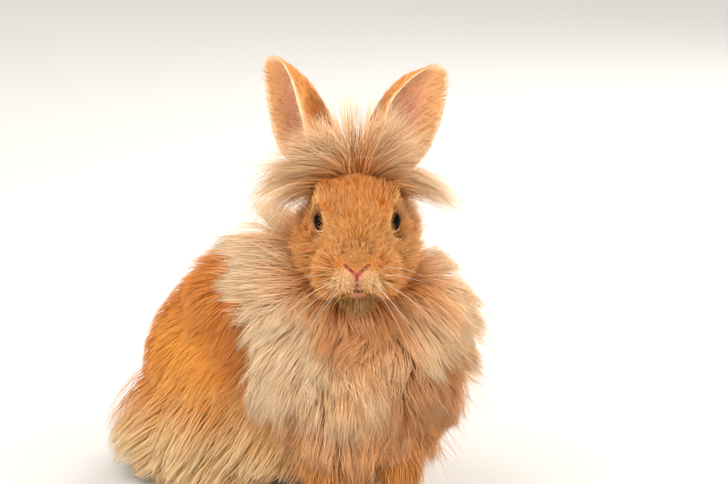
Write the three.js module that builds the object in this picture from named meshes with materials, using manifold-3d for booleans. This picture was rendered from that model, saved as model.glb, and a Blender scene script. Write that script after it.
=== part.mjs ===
// A life-size lionhead rabbit, sitting up on its forefeet with its face turned to the viewer.
// Millimetres, +Z up. The face looks along -Y and the rump lies back and to the viewer's left.
// The rabbit's left side is +X, called side 1 here, and its right is side -1. The group is moved at
// the end so that the middle of its bounding box stands over the origin, with the feet on z = 0.

import * as THREE from "three";
import Module from "manifold-3d";

const wasm = await Module();
wasm.setup();

// Driving dimensions

const gap = 0.3; // between neighbouring solids
const grow = gap + 0.15; // how far a cutting copy stands out of the solid that it clears
const headWidth = 65; // cheek to cheek, with its short coat
const headPitch = 24; // degrees that the nose points below level
const eyeSpacing = 34.6; // between the centres of the eyeballs
const eyeRadius = 8;
const eyeHeight = 193;
const lidThickness = 1.4;
const lidOpening = 6; // half the length of the opening between the lids
const earThickness = 2.2;
const noseHeight = 176; // of the upper ends of the nostrils
const mouthHeight = 159;
const mouthWidth = 26;
const mouthArch = 6.5; // how far its corners lie below its middle
const cleft = 1.1; // width of the mouth, philtrum and nostril grooves
const ruffReach = 77; // from the middle of the neck to the tips of the ruff, sideways
const bibDrop = 62; // from the throat to the tips of the bib
const maneLockWidth = 21;
const headLockWidth = 12;
const skirtLockWidth = 19;
const tailLockWidth = 15;
const lockThickness = 3.4;
const lockSunk = 5; // how deep a lock's root stands in the body
const bodyHalfWidth = 58; // of the loin, with its coat
const pelvisTurn = 38; // degrees from the way the face looks to the way the hips point
const hindFootLength = 80;
const hindFootSpread = 48; // from the middle of the pelvis to each hind foot
const forePawWidth = 21;
const tailRadius = 19;
const coatFloor = 1.2; // height of the lowest hair tips

const fleshCell = 15; // mesh size on the trunk
const headCell = 5.8; // mesh size on the head
const limbCell = 8; // mesh size on legs and feet
const shortestEdge = 0.1;

// Vectors and places

const v = (x, y, z) => new THREE.Vector3(x, y, z);
const degrees = THREE.MathUtils.degToRad;
const up = v(0, 0, 1);

const hip = v(-80, 148, 0); // under the middle of the pelvis
const hipForward = v(Math.sin(degrees(pelvisTurn)), -Math.cos(degrees(pelvisTurn)), 0);
const hipLeft = v(-hipForward.y, hipForward.x, 0);

// A place told from the pelvis: forwards, to the rabbit's left, and up.
function fromHip(forward, left, height) {
  return hip.clone().addScaledVector(hipForward, forward).addScaledVector(hipLeft, left).setZ(height);
}

// A place told from the middle of the head: to the rabbit's left, forwards along the nose, and up
// across it.
const headMiddle = v(0, 0, eyeHeight - 5);
const noseAxis = v(0, -Math.cos(degrees(headPitch)), -Math.sin(degrees(headPitch)));
const crownAxis = v(0, -Math.sin(degrees(headPitch)), Math.cos(degrees(headPitch)));
function fromHead(left, forward, height) {
  const beside = headMiddle.clone().add(v(left, 0, 0));
  return beside.addScaledVector(noseAxis, forward).addScaledVector(crownAxis, height);
}

const eyeAt = (side) => fromHead((side * eyeSpacing) / 2, 1, 6.3);
const gaze = (side) => v(side, -0.42, 0.12).normalize();
const neckFoot = v(4, 46, 124);
const neckAxis = v(4, 24, -41).normalize();

// Smooth forms: each is a function of x, y, z that gives about the distance to its surface

function ellipsoid(centre, radii, turn = [0, 0, 0]) {
  const angles = new THREE.Euler(degrees(turn[0]), degrees(turn[1]), degrees(turn[2]), "ZYX");
  const m = new THREE.Matrix4().makeRotationFromEuler(angles).elements;
  const [rx, ry, rz] = radii;
  return (x, y, z) => {
    const dx = x - centre.x;
    const dy = y - centre.y;
    const dz = z - centre.z;
    const a = (dx * m[0] + dy * m[1] + dz * m[2]) / rx;
    const b = (dx * m[4] + dy * m[5] + dz * m[6]) / ry;
    const c = (dx * m[8] + dy * m[9] + dz * m[10]) / rz;
    const near = Math.hypot(a, b, c);
    return (near * (near - 1)) / (Math.hypot(a / rx, b / ry, c / rz) + 1e-9);
  };
}

// A limb that tapers from radius ra at a to radius rb at b.
function taper(a, b, ra, rb) {
  const axis = b.clone().sub(a);
  const long = axis.length();
  axis.divideScalar(long);
  const slope = (ra - rb) / long;
  const lean = Math.sqrt(1 - slope * slope);
  return (x, y, z) => {
    const dx = x - a.x;
    const dy = y - a.y;
    const dz = z - a.z;
    const along = dx * axis.x + dy * axis.y + dz * axis.z;
    const off = Math.sqrt(Math.max(dx * dx + dy * dy + dz * dz - along * along, 0));
    const foot = along + (off * slope) / lean;
    if (foot < 0) return Math.hypot(along, off) - ra;
    if (foot > long) return Math.hypot(along - long, off) - rb;
    return off * lean + along * slope - ra;
  };
}

function blend(softness, forms) {
  return (x, y, z) => {
    let near = forms[0](x, y, z);
    for (let i = 1; i < forms.length; i++) {
      const next = forms[i](x, y, z);
      const mix = Math.max(softness - Math.abs(near - next), 0) / softness;
      near = Math.min(near, next) - (mix * mix * softness) / 4;
    }
    return near;
  };
}

const bothSides = (make) => [make(1), make(-1)];

// Meshes over smooth forms

function slopeOf(form, x, y, z) {
  const h = 0.4;
  return [
    (form(x + h, y, z) - form(x - h, y, z)) / (2 * h),
    (form(x, y + h, z) - form(x, y - h, z)) / (2 * h),
    (form(x, y, z + h) - form(x, y, z - h)) / (2 * h),
  ];
}

// Draws a closed mesh over a form: one point in each grid cell that the surface crosses, moved
// onto the surface, and one quad round each grid edge that it crosses.
function drape(form, from, to, cell) {
  const low = from.clone().subScalar(cell);
  const count = [0, 1, 2].map((i) => Math.ceil((to.getComponent(i) - low.getComponent(i)) / cell) + 2);
  const at = (i, j, k) => (i * count[1] + j) * count[2] + k;
  const value = new Float64Array(count[0] * count[1] * count[2]);
  for (let i = 0; i < count[0]; i++)
    for (let j = 0; j < count[1]; j++)
      for (let k = 0; k < count[2]; k++)
        value[at(i, j, k)] = form(low.x + i * cell, low.y + j * cell, low.z + k * cell);

  const points = [];
  const pointOf = new Map();
  const edges = []; // of a grid cell, between corners whose numbers differ in one bit
  for (let corner = 0; corner < 8; corner++)
    for (const bit of [1, 2, 4]) if (!(corner & bit)) edges.push([corner, corner | bit]);
  for (let i = 0; i < count[0] - 1; i++)
    for (let j = 0; j < count[1] - 1; j++)
      for (let k = 0; k < count[2] - 1; k++) {
        const sum = [0, 0, 0];
        let crossings = 0;
        for (const [from, to] of edges) {
          const a = [i + (from >> 2), j + ((from >> 1) & 1), k + (from & 1)];
          const b = [i + (to >> 2), j + ((to >> 1) & 1), k + (to & 1)];
          const va = value[at(...a)];
          const vb = value[at(...b)];
          if (va < 0 === vb < 0) continue;
          const share = va / (va - vb);
          for (let n = 0; n < 3; n++) sum[n] += a[n] + (b[n] - a[n]) * share;
          crossings++;
        }
        if (!crossings) continue;
        const p = [0, 1, 2].map((n) => low.getComponent(n) + (sum[n] / crossings) * cell);
        for (let pass = 0; pass < 4; pass++) {
          const distance = form(...p);
          const slope = slopeOf(form, ...p);
          const steep = slope[0] ** 2 + slope[1] ** 2 + slope[2] ** 2 + 1e-6;
          const step = THREE.MathUtils.clamp(distance / steep, -cell / 3, cell / 3);
          for (let n = 0; n < 3; n++) p[n] -= step * slope[n];
        }
        pointOf.set(at(i, j, k), points.length / 3);
        points.push(...p);
      }

  const faces = [];
  const span = (a, b) => Math.hypot(...[0, 1, 2].map((n) => points[a * 3 + n] - points[b * 3 + n]));
  const diagonals = new Set(); // each pair of points is joined across one quad only
  const pair = (a, b) => Math.min(a, b) * points.length + Math.max(a, b);
  const quad = (a, b, c, d) => {
    const short = span(a, c) < span(b, d);
    if (diagonals.has(pair(b, d)) || (short && !diagonals.has(pair(a, c)))) {
      diagonals.add(pair(a, c));
      faces.push(a, b, c, a, c, d);
    } else {
      diagonals.add(pair(b, d));
      faces.push(a, b, d, b, c, d);
    }
  };
  const steps = [at(1, 0, 0), at(0, 1, 0), at(0, 0, 1)];
  for (let i = 1; i < count[0] - 1; i++)
    for (let j = 1; j < count[1] - 1; j++)
      for (let k = 1; k < count[2] - 1; k++)
        for (let n = 0; n < 3; n++) {
          const here = at(i, j, k);
          const inside = value[here] < 0;
          if (inside === value[here + steps[n]] < 0) continue;
          const s = steps[(n + 1) % 3];
          const t = steps[(n + 2) % 3];
          const ring = [here - s - t, here - t, here, here - s].map((c) => pointOf.get(c));
          quad(...(inside ? ring : ring.reverse()));
        }
  const geometry = new THREE.BufferGeometry();
  geometry.setAttribute("position", new THREE.Float32BufferAttribute(points, 3));
  geometry.setIndex(faces);
  return geometry;
}

// Solids

function meshOf(points, faces) {
  const geometry = new THREE.BufferGeometry();
  geometry.setAttribute("position", new THREE.Float32BufferAttribute(points, 3));
  geometry.setIndex(faces);
  return geometry;
}

function solidOf(geometry) {
  const made = (triangles) =>
    new wasm.Manifold(
      new wasm.Mesh({
        numProp: 3,
        vertProperties: new Float32Array(geometry.attributes.position.array),
        triVerts: new Uint32Array(triangles),
      }),
    );
  const solid = made(geometry.index.array);
  return solid.volume() > 0 ? solid : made([...geometry.index.array].reverse());
}

// The same mesh with its surface moved out, to cut a neighbour clear of it.
function grownOf(geometry, by = grow) {
  const copy = geometry.clone();
  copy.computeVertexNormals();
  const place = copy.attributes.position;
  const normal = copy.attributes.normal;
  for (let i = 0; i < place.count; i++)
    place.setXYZ(
      i,
      place.getX(i) + normal.getX(i) * by,
      place.getY(i) + normal.getY(i) * by,
      place.getZ(i) + normal.getZ(i) * by,
    );
  return solidOf(copy);
}

// The part of a solid on the side of a plane that its normal points to, less half a gap.
function keepSide(solid, point, normal, inset = gap / 2) {
  const n = normal.clone().normalize();
  return solid.trimByPlane([n.x, n.y, n.z], n.dot(point) + inset);
}

const aboveFloor = (solid, height) => keepSide(solid, v(0, 0, height), up, 0);
const largest = (solid) => solid.decompose().reduce((a, b) => (a.volume() > b.volume() ? a : b));
const less = (solid, ...cutters) => cutters.reduce((left, cutter) => left.subtract(cutter), solid);
const joined = (...solids) => solids.reduce((sum, solid) => sum.add(solid));

// A closed tube through rings of points, each ring with as many points as the first.
function loft(rings) {
  const around = rings[0].length;
  const points = rings.flat().flatMap((p) => p.toArray());
  const faces = [];
  for (let j = 0; j + 1 < rings.length; j++)
    for (let i = 0; i < around; i++) {
      const a = j * around + i;
      const b = j * around + ((i + 1) % around);
      faces.push(a, b, b + around, a, b + around, a + around);
    }
  const last = (rings.length - 1) * around;
  for (let i = 1; i + 1 < around; i++) faces.push(0, i + 1, i, last, last + i, last + i + 1);
  return solidOf(meshOf(points, faces));
}

function ball(centre, radius, around = 12, down = 7) {
  const rings = [];
  for (let j = 0; j <= down; j++) {
    const lean = THREE.MathUtils.lerp(0.12, Math.PI - 0.12, j / down);
    const ring = [];
    for (let i = 0; i < around; i++) {
      const p = new THREE.Vector3().setFromSphericalCoords(radius, lean, (2 * Math.PI * i) / around);
      ring.push(v(p.z, p.x, p.y).add(centre));
    }
    rings.push(ring);
  }
  return loft(rings);
}

// Seeded draws between -1 and 1
let seed = 7;
function draw() {
  seed = (seed * 1103515245 + 12345) % 2147483648;
  return (seed / 1073741824) % 2 - 1;
}

// Where a line from inside a form first leaves it
function surfaceOf(form, inside, heading) {
  const at = inside.clone();
  while (form(at.x, at.y, at.z) < 0) at.addScaledVector(heading, 0.5);
  return at;
}

const outOf = (form, at) => v(...slopeOf(form, at.x, at.y, at.z)).normalize();

// A flat lock that tapers to its tip. It leaves its root along start, turns towards lie, droops, and
// slides over the forms it has to clear, until it comes to the coat's outline or its full length.
function lock({ root, start, lie, length, width, clear, outline, droop = 0.25, turn = 0.3, fat = 0 }) {
  const step = 4;
  const path = [root.clone().addScaledVector(start, -lockSunk)];
  const heading = start.clone();
  const at = root.clone();
  for (let gone = 0; gone < length; gone += step) {
    path.push(at.clone());
    if (gone > length * 0.55 && outline(at.x, at.y, at.z) > 0) break;
    heading.lerp(lie, turn).add(v(0, 0, (-droop * step) / 20)).normalize();
    at.addScaledVector(heading, step);
    for (const form of clear) {
      const short = lockThickness / 2 + gap + 0.7 - form(at.x, at.y, at.z);
      if (short > 0) at.addScaledVector(outOf(form, at), short);
    }
    at.z = Math.max(at.z, coatFloor + lockThickness / 2);
  }
  const curve = new THREE.CatmullRomCurve3(path);
  const stations = 4;
  const rings = [];
  for (let i = 0; i <= stations; i++) {
    const t = i / stations;
    const middle = curve.getPointAt(t);
    const along = curve.getTangentAt(t);
    const near = clear[0];
    const over = outOf(near, middle);
    over.addScaledVector(along, -over.dot(along)).normalize();
    const across = new THREE.Vector3().crossVectors(along, over);
    const full = Math.sqrt(1 - t ** 2.5) * (0.75 + 0.9 * t - 0.65 * t * t);
    const half = Math.max((width / 2) * full, 0.7) + fat;
    const thick = Math.max((lockThickness / 2) * (1 - 0.75 * t), 0.4) + fat;
    rings.push([
      middle.clone().addScaledVector(across, half),
      middle.clone().addScaledVector(over, thick),
      middle.clone().addScaledVector(across, -half),
      middle.clone().addScaledVector(over, -thick),
    ]);
  }
  return loft(rings);
}

// The trunk: chest, loin, rump, thighs and neck as one smooth form

const hipEllipsoid = (forward, left, height, radii) =>
  ellipsoid(fromHip(forward, left, height), radii, [0, 0, pelvisTurn]);
const trunkForm = blend(18, [
  ellipsoid(v(4, 38, 98), [44, 38, 46]),
  ellipsoid(v(-12, 72, 104), [50, 54, 54], [0, 0, 18]),
  ellipsoid(v(-48, 110, 104), [bodyHalfWidth - 2, 60, 60], [0, 0, 32]),
  ellipsoid(v(-38, 88, 56), [50, 66, 44], [0, 0, 34]),
  hipEllipsoid(-2, 0, 84, [54, 48, 56]),
  hipEllipsoid(6, 0, 44, [34, 54, 34]),
  taper(v(0, 26, 166), v(4, 44, 118), 26, 40),
  ...bothSides((side) => ellipsoid(v(4 + side * 28, 38, 88), [20, 28, 36])),
  ...bothSides((side) => hipEllipsoid(16, side * 36, 62, [30, 58, 54])),
  ...bothSides((side) => hipEllipsoid(12, side * 40, 30, [27, 56, 30])),
]);
const skirtOutline = blend(18, [
  trunkForm,
  ...bothSides((side) => hipEllipsoid(10, side * 46, 26, [36, 66, 34])),
]);
const trunk = drape(trunkForm, v(-185, -20, -30), v(70, 235, 215), fleshCell);
const trunkGrown = grownOf(trunk);
const trunkSolid = aboveFloor(solidOf(trunk), coatFloor);

// The head, with muzzle pads, brows, cheeks and chin

const headEllipsoid = (left, forward, height, radii) =>
  ellipsoid(fromHead(left, forward, height), radii, [headPitch, 0, 0]);
const headForm = blend(8, [
  headEllipsoid(0, -13, 1, [28, 32, 27]),
  taper(fromHead(0, 2, 0), fromHead(0, 30, -4), 21, 17.5),
  headEllipsoid(0, 43.5, 6.5, [8.5, 6, 9]),
  headEllipsoid(0, 33, -19, [11, 11, 9]),
  headEllipsoid(0, 8, -20, [18, 26, 13]),
  ...bothSides((side) => headEllipsoid(side * 10.5, 33, -7, [12, 13, 12])),
  ...bothSides((side) => headEllipsoid((side * (headWidth - 35)) / 2, -7, -14, [17.5, 28, 20])),
  ...bothSides((side) => headEllipsoid(side * 16, -1, 14, [8.5, 14, 8])),
]);
const headMesh = drape(headForm, v(-48, -66, 120), v(48, 66, 246), headCell);

// The place on the face at a point seen from the front, or beside it where it misses the face
function faceAt(x, z) {
  let y = -70;
  while (headForm(x, y, z) > 0.05 && y < -22) y += 0.1;
  return v(x, y, z);
}

// A groove cut into the face along places given as [x, z] from the front
function groove(places, width, depth) {
  const rings = places.map(([x, z], i) => {
    const before = places[Math.max(i - 1, 0)];
    const after = places[Math.min(i + 1, places.length - 1)];
    const along = v(after[0] - before[0], 0, after[1] - before[1]).normalize();
    const across = v(-along.z, 0, along.x).multiplyScalar(width / 2);
    const at = faceAt(x, z);
    return [
      at.clone().add(across).add(v(0, -3, 0)),
      at.clone().add(v(0, depth, 0)),
      at.clone().sub(across).add(v(0, -3, 0)),
    ];
  });
  return loft(rings);
}

const mouthPlace = (t) => [(t * mouthWidth) / 2, mouthHeight + 0.5 - mouthArch * t * t];
const mouthLine = [-1, -0.7, -0.4, 0, 0.4, 0.7, 1].map(mouthPlace);
const noseFoot = noseHeight - 6;
const philtrumLine = [0, 0.5, 1].map((t) => [0, THREE.MathUtils.lerp(noseFoot - 1, mouthHeight, t)]);
const nostrilLine = (side) => [0, 0.5, 1].map((t) => [side * (1 + 7 * t), noseFoot + 6 * t ** 0.8]);
const faceGrooves = [
  groove(mouthLine, cleft * 1.5, 3),
  groove(philtrumLine, cleft, 2),
  ...bothSides((side) => groove(nostrilLine(side), cleft * 1.4, 2.5)),
];

// Lids: a shell over the eyeball with an almond opening, its long axis level
const lidShell = (side) => ball(eyeAt(side), eyeRadius + grow + lidThickness);
function lidGap(side) {
  const out = gaze(side);
  const along = new THREE.Vector3().crossVectors(up, out).normalize();
  const over = new THREE.Vector3().crossVectors(out, along);
  const ring = (distance) =>
    Array.from({ length: 14 }, (unused, i) => {
      const angle = (2 * Math.PI * i) / 14;
      return eyeAt(side)
        .addScaledVector(out, distance)
        .addScaledVector(along, lidOpening * Math.cos(angle))
        .addScaledVector(over, lidOpening * 0.8 * Math.sin(angle) * Math.abs(Math.sin(angle)) ** 0.3);
    });
  return loft([ring(3), ring(20)]);
}

// Legs, paws and feet, with a claw on each toe

const wrist = (side) => v(3 + side * 21, 12, 22);
const foreToeAt = (side, toe) => wrist(side).add(v(toe * 6, -21 + Math.abs(toe) * 3, -15.5));
const forelegForm = (side) =>
  blend(6, [
    taper(v(4 + side * 25, 34, 78), v(3 + side * 21, 14, 42), 19, 14),
    taper(v(3 + side * 21, 14, 42), wrist(side), 14, 11),
    ellipsoid(wrist(side).add(v(0, -8, -13)), [forePawWidth / 2, 17, 11]),
    ...[-1, 0, 1].map((toe) => ellipsoid(foreToeAt(side, toe), [4.6, 8, 7])),
  ]);

const hindToeAt = (side, toe) =>
  fromHip(hindFootLength - 28 - Math.abs(toe) * 4, side * hindFootSpread + toe * 7, 6.5);
const hindFootForm = (side) =>
  blend(6, [
    taper(
      fromHip(-16, side * hindFootSpread, 11),
      fromHip(hindFootLength - 44, side * hindFootSpread, 9),
      13,
      12,
    ),
    ...[-1, 0, 1].map((toe) => ellipsoid(hindToeAt(side, toe), [5, 12, 8], [0, 0, pelvisTurn])),
  ]);

function claw(root, forward) {
  const across = new THREE.Vector3().crossVectors(up, forward);
  const ring = (reach, height, radius) =>
    [0, 1, 2, 3, 4].map((i) => {
      const angle = (2 * Math.PI * i) / 5;
      return root
        .clone()
        .addScaledVector(forward, reach)
        .addScaledVector(across, radius * Math.cos(angle))
        .setZ(Math.max(height + radius * Math.sin(angle), 0.3));
    });
  return loft([ring(-3, 4.5, 1.7), ring(3, 3.8, 1.4), ring(7, 1.6, 0.6)]);
}

const foreleg = (side) => drape(forelegForm(side), v(-60, -40, -10), v(70, 80, 110), limbCell);
const hindFoot = (side) => drape(hindFootForm(side), v(-190, -10, -14), v(90, 240, 70), limbCell);
const foreClaws = (side) => [-1, 0, 1].map((toe) => claw(foreToeAt(side, toe).add(v(0, -5, 0)), v(0, -1, 0)));
const hindClaws = (side) =>
  [-1, 0, 1].map((toe) => claw(hindToeAt(side, toe).addScaledVector(hipForward, 9), hipForward));

// The thigh is the part of the trunk inside a rounded region, so that it parts as a haunch does.
const thighRegion = (side) =>
  drape(hipEllipsoid(12, side * 58, 52, [38, 74, 84]), v(-220, -30, -50), v(90, 270, 160), fleshCell * 1.8);

const tailCore = blend(6, [
  hipEllipsoid(-57, 0, 44, [tailRadius * 0.75, tailRadius * 0.7, tailRadius * 0.95]),
  hipEllipsoid(-46, 0, 50, [11, 14, 12]),
]);

// The long coat: its outline at the tips, and the cores that its locks grow from

const ruffOutline = blend(22, [
  ellipsoid(v(1, 26, 124), [ruffReach - 1, 50, 50]),
  ellipsoid(v(4, 14, 120 - bibDrop / 2), [64, 40, 46]),
  ellipsoid(v(-18, 58, 158), [52, 38, 40]),
]);

const ruffCore = blend(18, [
  ellipsoid(v(1, 28, 126), [52, 32, 38]),
  ellipsoid(v(4, 22, 102), [46, 30, 32]),
  ellipsoid(v(-14, 52, 152), [36, 26, 28]),
]);
const neckForm = blend(18, [trunkForm, ruffCore]);
const faceCentre = v(0, -14, 168); // the hair of the mane lies away from here

function maneLock(from, heading, fat = 0) {
  const root = surfaceOf(neckForm, from, heading);
  const out = outOf(neckForm, root);
  const room = -ruffOutline(root.x, root.y, root.z);
  const away = root.clone().sub(faceCentre);
  const lie = away.addScaledVector(out, -away.dot(out)).normalize().addScaledVector(out, 0.45).normalize();
  lie.add(v(draw() * 0.14, draw() * 0.14, draw() * 0.14)).normalize();
  return lock({
    root,
    start: out.clone().multiplyScalar(0.8).add(lie).normalize(),
    lie,
    length: (71 + 7 * draw()) * THREE.MathUtils.clamp(room / 14, 0.45, 1),
    width: maneLockWidth * (1 + 0.15 * draw()),
    clear: [neckForm, headForm],
    outline: (x, y, z) => ruffOutline(x, y, z) - 2 * draw(),
    fat,
  });
}

// Tiers of the mane down the neck and chest. Angles are in degrees from the rabbit's left towards
// its back, so that -90 is the middle of the bib and 90 the nape.
const maneTiers = [
  { centre: v(-8, 34, 162), count: 11, from: -25, to: 200, rise: 0.35 },
  { centre: v(0, 30, 148), count: 13, from: -60, to: 235, rise: 0 },
  { centre: v(2, 28, 134), count: 11, from: -155, to: 20, rise: 0 },
  { centre: v(3, 26, 118), count: 11, from: -185, to: 28, rise: -0.1 },
  { centre: v(4, 24, 102), count: 11, from: -180, to: 22, rise: -0.25 },
  { centre: v(4, 24, 86), count: 9, from: -170, to: 12, rise: -0.5 },
];

function maneLocks() {
  return maneTiers.flatMap(({ centre, count, from, to, rise }) =>
    Array.from({ length: count }, (unused, i) => {
      const angle = degrees(from + ((to - from) * (i + 0.3 * draw())) / (count - 1));
      return maneLock(centre, v(Math.cos(angle), Math.sin(angle), rise + 0.08 * draw()).normalize());
    }),
  );
}

// The forelock: a tuft that stands up between the ears, and one that falls to each side
const forelockGroups = [
  { count: 7, spread: 11, lean: 0, length: 46, turn: 0.25, droop: 0, lie: v(0, 0.22, 1) },
  ...bothSides((side) => ({
    count: 8,
    spread: 13,
    lean: side,
    length: 50,
    turn: 0.4,
    droop: 0.34,
    lie: v(side, 0.1, 0.2),
  })),
];

function forelockLocks(fat = 0) {
  return forelockGroups.flatMap(({ count, spread, lean, length, turn, droop, lie }) =>
    Array.from({ length: count }, (unused, i) => {
      const share = (i / (count - 1)) * 2 - 1;
      const from = lean
        ? fromHead(lean * 7, -14 - share * spread, 8)
        : fromHead(share * spread, -14 - 4 * draw(), 8);
      const root = surfaceOf(headForm, from, crownAxis);
      const heading = lean
        ? lie.clone().add(v(0, share * 0.5, lean * 0.25 * draw()))
        : lie.clone().add(v(share * 0.5, 0.15 * draw(), 0.1 * draw()));
      heading.normalize();
      return lock({
        root,
        start: outOf(headForm, root).multiplyScalar(0.7).add(heading).normalize(),
        lie: heading,
        length: length * (1 + 0.14 * draw()),
        width: headLockWidth * (1 + 0.15 * draw()),
        clear: [headForm],
        outline: () => -1,
        droop,
        turn,
        fat,
      });
    }),
  );
}

// The skirt of long hair over the thighs and under the flanks
function skirtLocks(side) {
  const rows = [
    { height: 66, count: 5, ahead: 34, behind: -34 },
    { height: 46, count: 7, ahead: 44, behind: -42 },
    { height: 30, count: 6, ahead: 40, behind: -40 },
  ];
  return rows.flatMap(({ height, count, ahead, behind }) =>
    Array.from({ length: count }, (unused, i) => {
      const forward = THREE.MathUtils.lerp(behind, ahead, (i + 0.25 * draw()) / (count - 1));
      const from = fromHip(forward * 0.6 + 8, side * 34, height + 3 * draw());
      const heading = hipLeft.clone().multiplyScalar(side).addScaledVector(hipForward, forward * 0.02);
      const root = surfaceOf(trunkForm, from, heading.normalize());
      const out = outOf(trunkForm, root);
      const lie = v(0, 0, -1).addScaledVector(out, 0.45).addScaledVector(hipForward, -0.3 + 0.1 * draw());
      return lock({
        root,
        start: out.clone().multiplyScalar(0.7).add(lie).normalize(),
        lie: lie.normalize(),
        length: 50 + 6 * draw(),
        width: skirtLockWidth * (1 + 0.15 * draw()),
        clear: [trunkForm],
        outline: (x, y, z) => skirtOutline(x, y, z) - 3,
      });
    }),
  );
}

function tailLocks() {
  return Array.from({ length: 8 }, (unused, i) => {
    const angle = (2 * Math.PI * (i + 0.2 * draw())) / 8;
    const heading = hipForward
      .clone()
      .multiplyScalar(-0.5)
      .addScaledVector(hipLeft, Math.cos(angle))
      .addScaledVector(up, Math.sin(angle))
      .normalize();
    const root = surfaceOf(tailCore, fromHip(-54, 0, 44), heading);
    const lie = heading.clone().addScaledVector(hipForward, -0.5).add(v(0, 0, -0.5)).normalize();
    return lock({
      root,
      start: heading,
      lie,
      length: 22 + 4 * draw(),
      width: tailLockWidth,
      clear: [tailCore, trunkForm],
      outline: () => -1,
    });
  });
}

// Ears: each a cupped blade whose inner edge rolls forward. At each height stand the left-right
// places of its outer edge, of the fold and of the rolled rim.
const earRows = {
  1: [
    [198, 16, 8, 12],
    [208, 22, 6.5, 13],
    [218, 32, 5.5, 14.5],
    [228, 41, 4.9, 15.5],
    [243, 48, 7.5, 16.3],
    [257, 51.6, 14.6, 19.9],
    [268.5, 52.8, 25.2, 29.9],
    [274.5, 51.9, 36, 38.5],
    [277.4, 48.5, 43.5, 44],
  ],
  [-1]: [
    [198, -16, -8, -13],
    [208, -23, -8.5, -18],
    [218, -34, -9.2, -24],
    [228, -45, -10, -29],
    [243, -50, -13.6, -30.9],
    [258, -52.4, -21.3, -34.8],
    [270, -53.6, -30.1, -38.3],
    [279, -54, -40.5, -42.8],
    [283.6, -52, -46.5, -47],
  ],
};

// How far the same places, and the bottom of the cup between them, stand behind the ear's root line,
// and how far the tip leans back
const earDepths = {
  1: { outer: -2, cup: 7, fold: -3, rim: -8, lean: 17 },
  [-1]: { outer: 4, cup: 9, fold: 1, rim: -9, lean: 9 },
};
const earRootDepth = 25; // from the middle of the head, backwards

function curveThrough(points) {
  return new THREE.CatmullRomCurve3(points, false, "catmullrom", 0.5);
}

function earMiddle(side, rows, columns) {
  const table = earRows[side];
  const heights = curveThrough(table.map(([height]) => v(height, 0, 0)));
  const places = curveThrough(table.map(([, outer, fold, rim]) => v(outer, fold, rim)));
  const { outer, cup, fold, rim, lean } = earDepths[side];
  const [low, high] = [table[0][0], table.at(-1)[0]];
  return Array.from({ length: rows + 1 }, (unused, row) => {
    const height = heights.getPoint(row / rows).x;
    const { x: outerPlace, y: foldPlace, z: rimPlace } = places.getPoint(row / rows);
    const t = (height - low) / (high - low);
    const slim = Math.sqrt(THREE.MathUtils.clamp((1 - t) * 2, 0, 1));
    const back = earRootDepth + lean * t ** 1.2;
    const section = curveThrough([
      v(outerPlace, back + outer * slim, height),
      v(THREE.MathUtils.lerp(outerPlace, foldPlace, 0.48), back + cup * slim, height),
      v(foldPlace, back + fold * slim, height),
      v(rimPlace, back + rim * slim, height),
    ]);
    return Array.from({ length: columns + 1 }, (unused, column) => section.getPoint(column / columns));
  });
}

function earSheet(side, extra = 0) {
  const rows = 10;
  const columns = 6;
  const middle = earMiddle(side, rows, columns);
  const at = (row, column) =>
    middle[THREE.MathUtils.clamp(row, 0, rows)][THREE.MathUtils.clamp(column, 0, columns)];
  const points = [];
  for (const layer of [-1, 1])
    for (let row = 0; row <= rows; row++)
      for (let column = 0; column <= columns; column++) {
        const along = at(row + 1, column).clone().sub(at(row - 1, column)).normalize();
        const inward = at(row, column + 1).clone().sub(at(row, column - 1)).normalize();
        const out = inward.clone().cross(along).normalize();
        const end = row === 0 ? -extra : row === rows ? extra : 0;
        const edge = column === 0 ? -extra : column === columns ? extra : 0;
        points.push(
          ...at(row, column)
            .clone()
            .addScaledVector(along, end)
            .addScaledVector(inward, edge)
            .addScaledVector(out, -layer * side * (earThickness / 2 + extra))
            .toArray(),
        );
      }
  const index = (row, column, layer) => ((layer > 0 ? 1 : 0) * (rows + 1) + row) * (columns + 1) + column;
  const faces = [];
  for (let row = 0; row < rows; row++)
    for (let column = 0; column < columns; column++)
      for (const layer of [-1, 1]) {
        const a = index(row, column, layer);
        const b = index(row, column + 1, layer);
        const c = index(row + 1, column + 1, layer);
        const d = index(row + 1, column, layer);
        if (layer * side > 0) faces.push(c, b, a, d, c, a);
        else faces.push(a, b, c, a, c, d);
      }
  const rim = [];
  for (let column = 0; column < columns; column++) rim.push([0, column]);
  for (let row = 0; row < rows; row++) rim.push([row, columns]);
  for (let column = columns; column > 0; column--) rim.push([rows, column]);
  for (let row = rows; row > 0; row--) rim.push([row, 0]);
  rim.forEach(([row, column], i) => {
    const [nextRow, nextColumn] = rim[(i + 1) % rim.length];
    const a = index(row, column, side);
    const b = index(nextRow, nextColumn, side);
    const c = index(nextRow, nextColumn, -side);
    const d = index(row, column, -side);
    faces.push(a, b, d, d, b, c);
  });
  return solidOf(meshOf(points, faces));
}

// Solids of each sub-part

const sides = [["left", 1], ["right", -1]];
const headGrown = grownOf(headMesh);
const hindFeet = { 1: hindFoot(1), [-1]: hindFoot(-1) };
const forelegs = { 1: foreleg(1), [-1]: foreleg(-1) };
const thighs = { 1: thighRegion(1), [-1]: thighRegion(-1) };
const hindFeetGrown = bothSides((side) => grownOf(hindFeet[side], grow * 1.2));
const forelegsGrown = bothSides((side) => grownOf(forelegs[side]));
const thighsGrown = bothSides((side) => grownOf(thighs[side], gap));
const earsGrown = bothSides((side) => earSheet(side, grow));

const head = largest(
  less(
    joined(
      solidOf(headMesh),
      ...bothSides(lidShell),
      ...forelockLocks(),
    ),
    ...faceGrooves,
    ...bothSides(lidGap),
    ...bothSides((side) => ball(eyeAt(side), eyeRadius + grow)),
    ...earsGrown,
  ),
);

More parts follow.
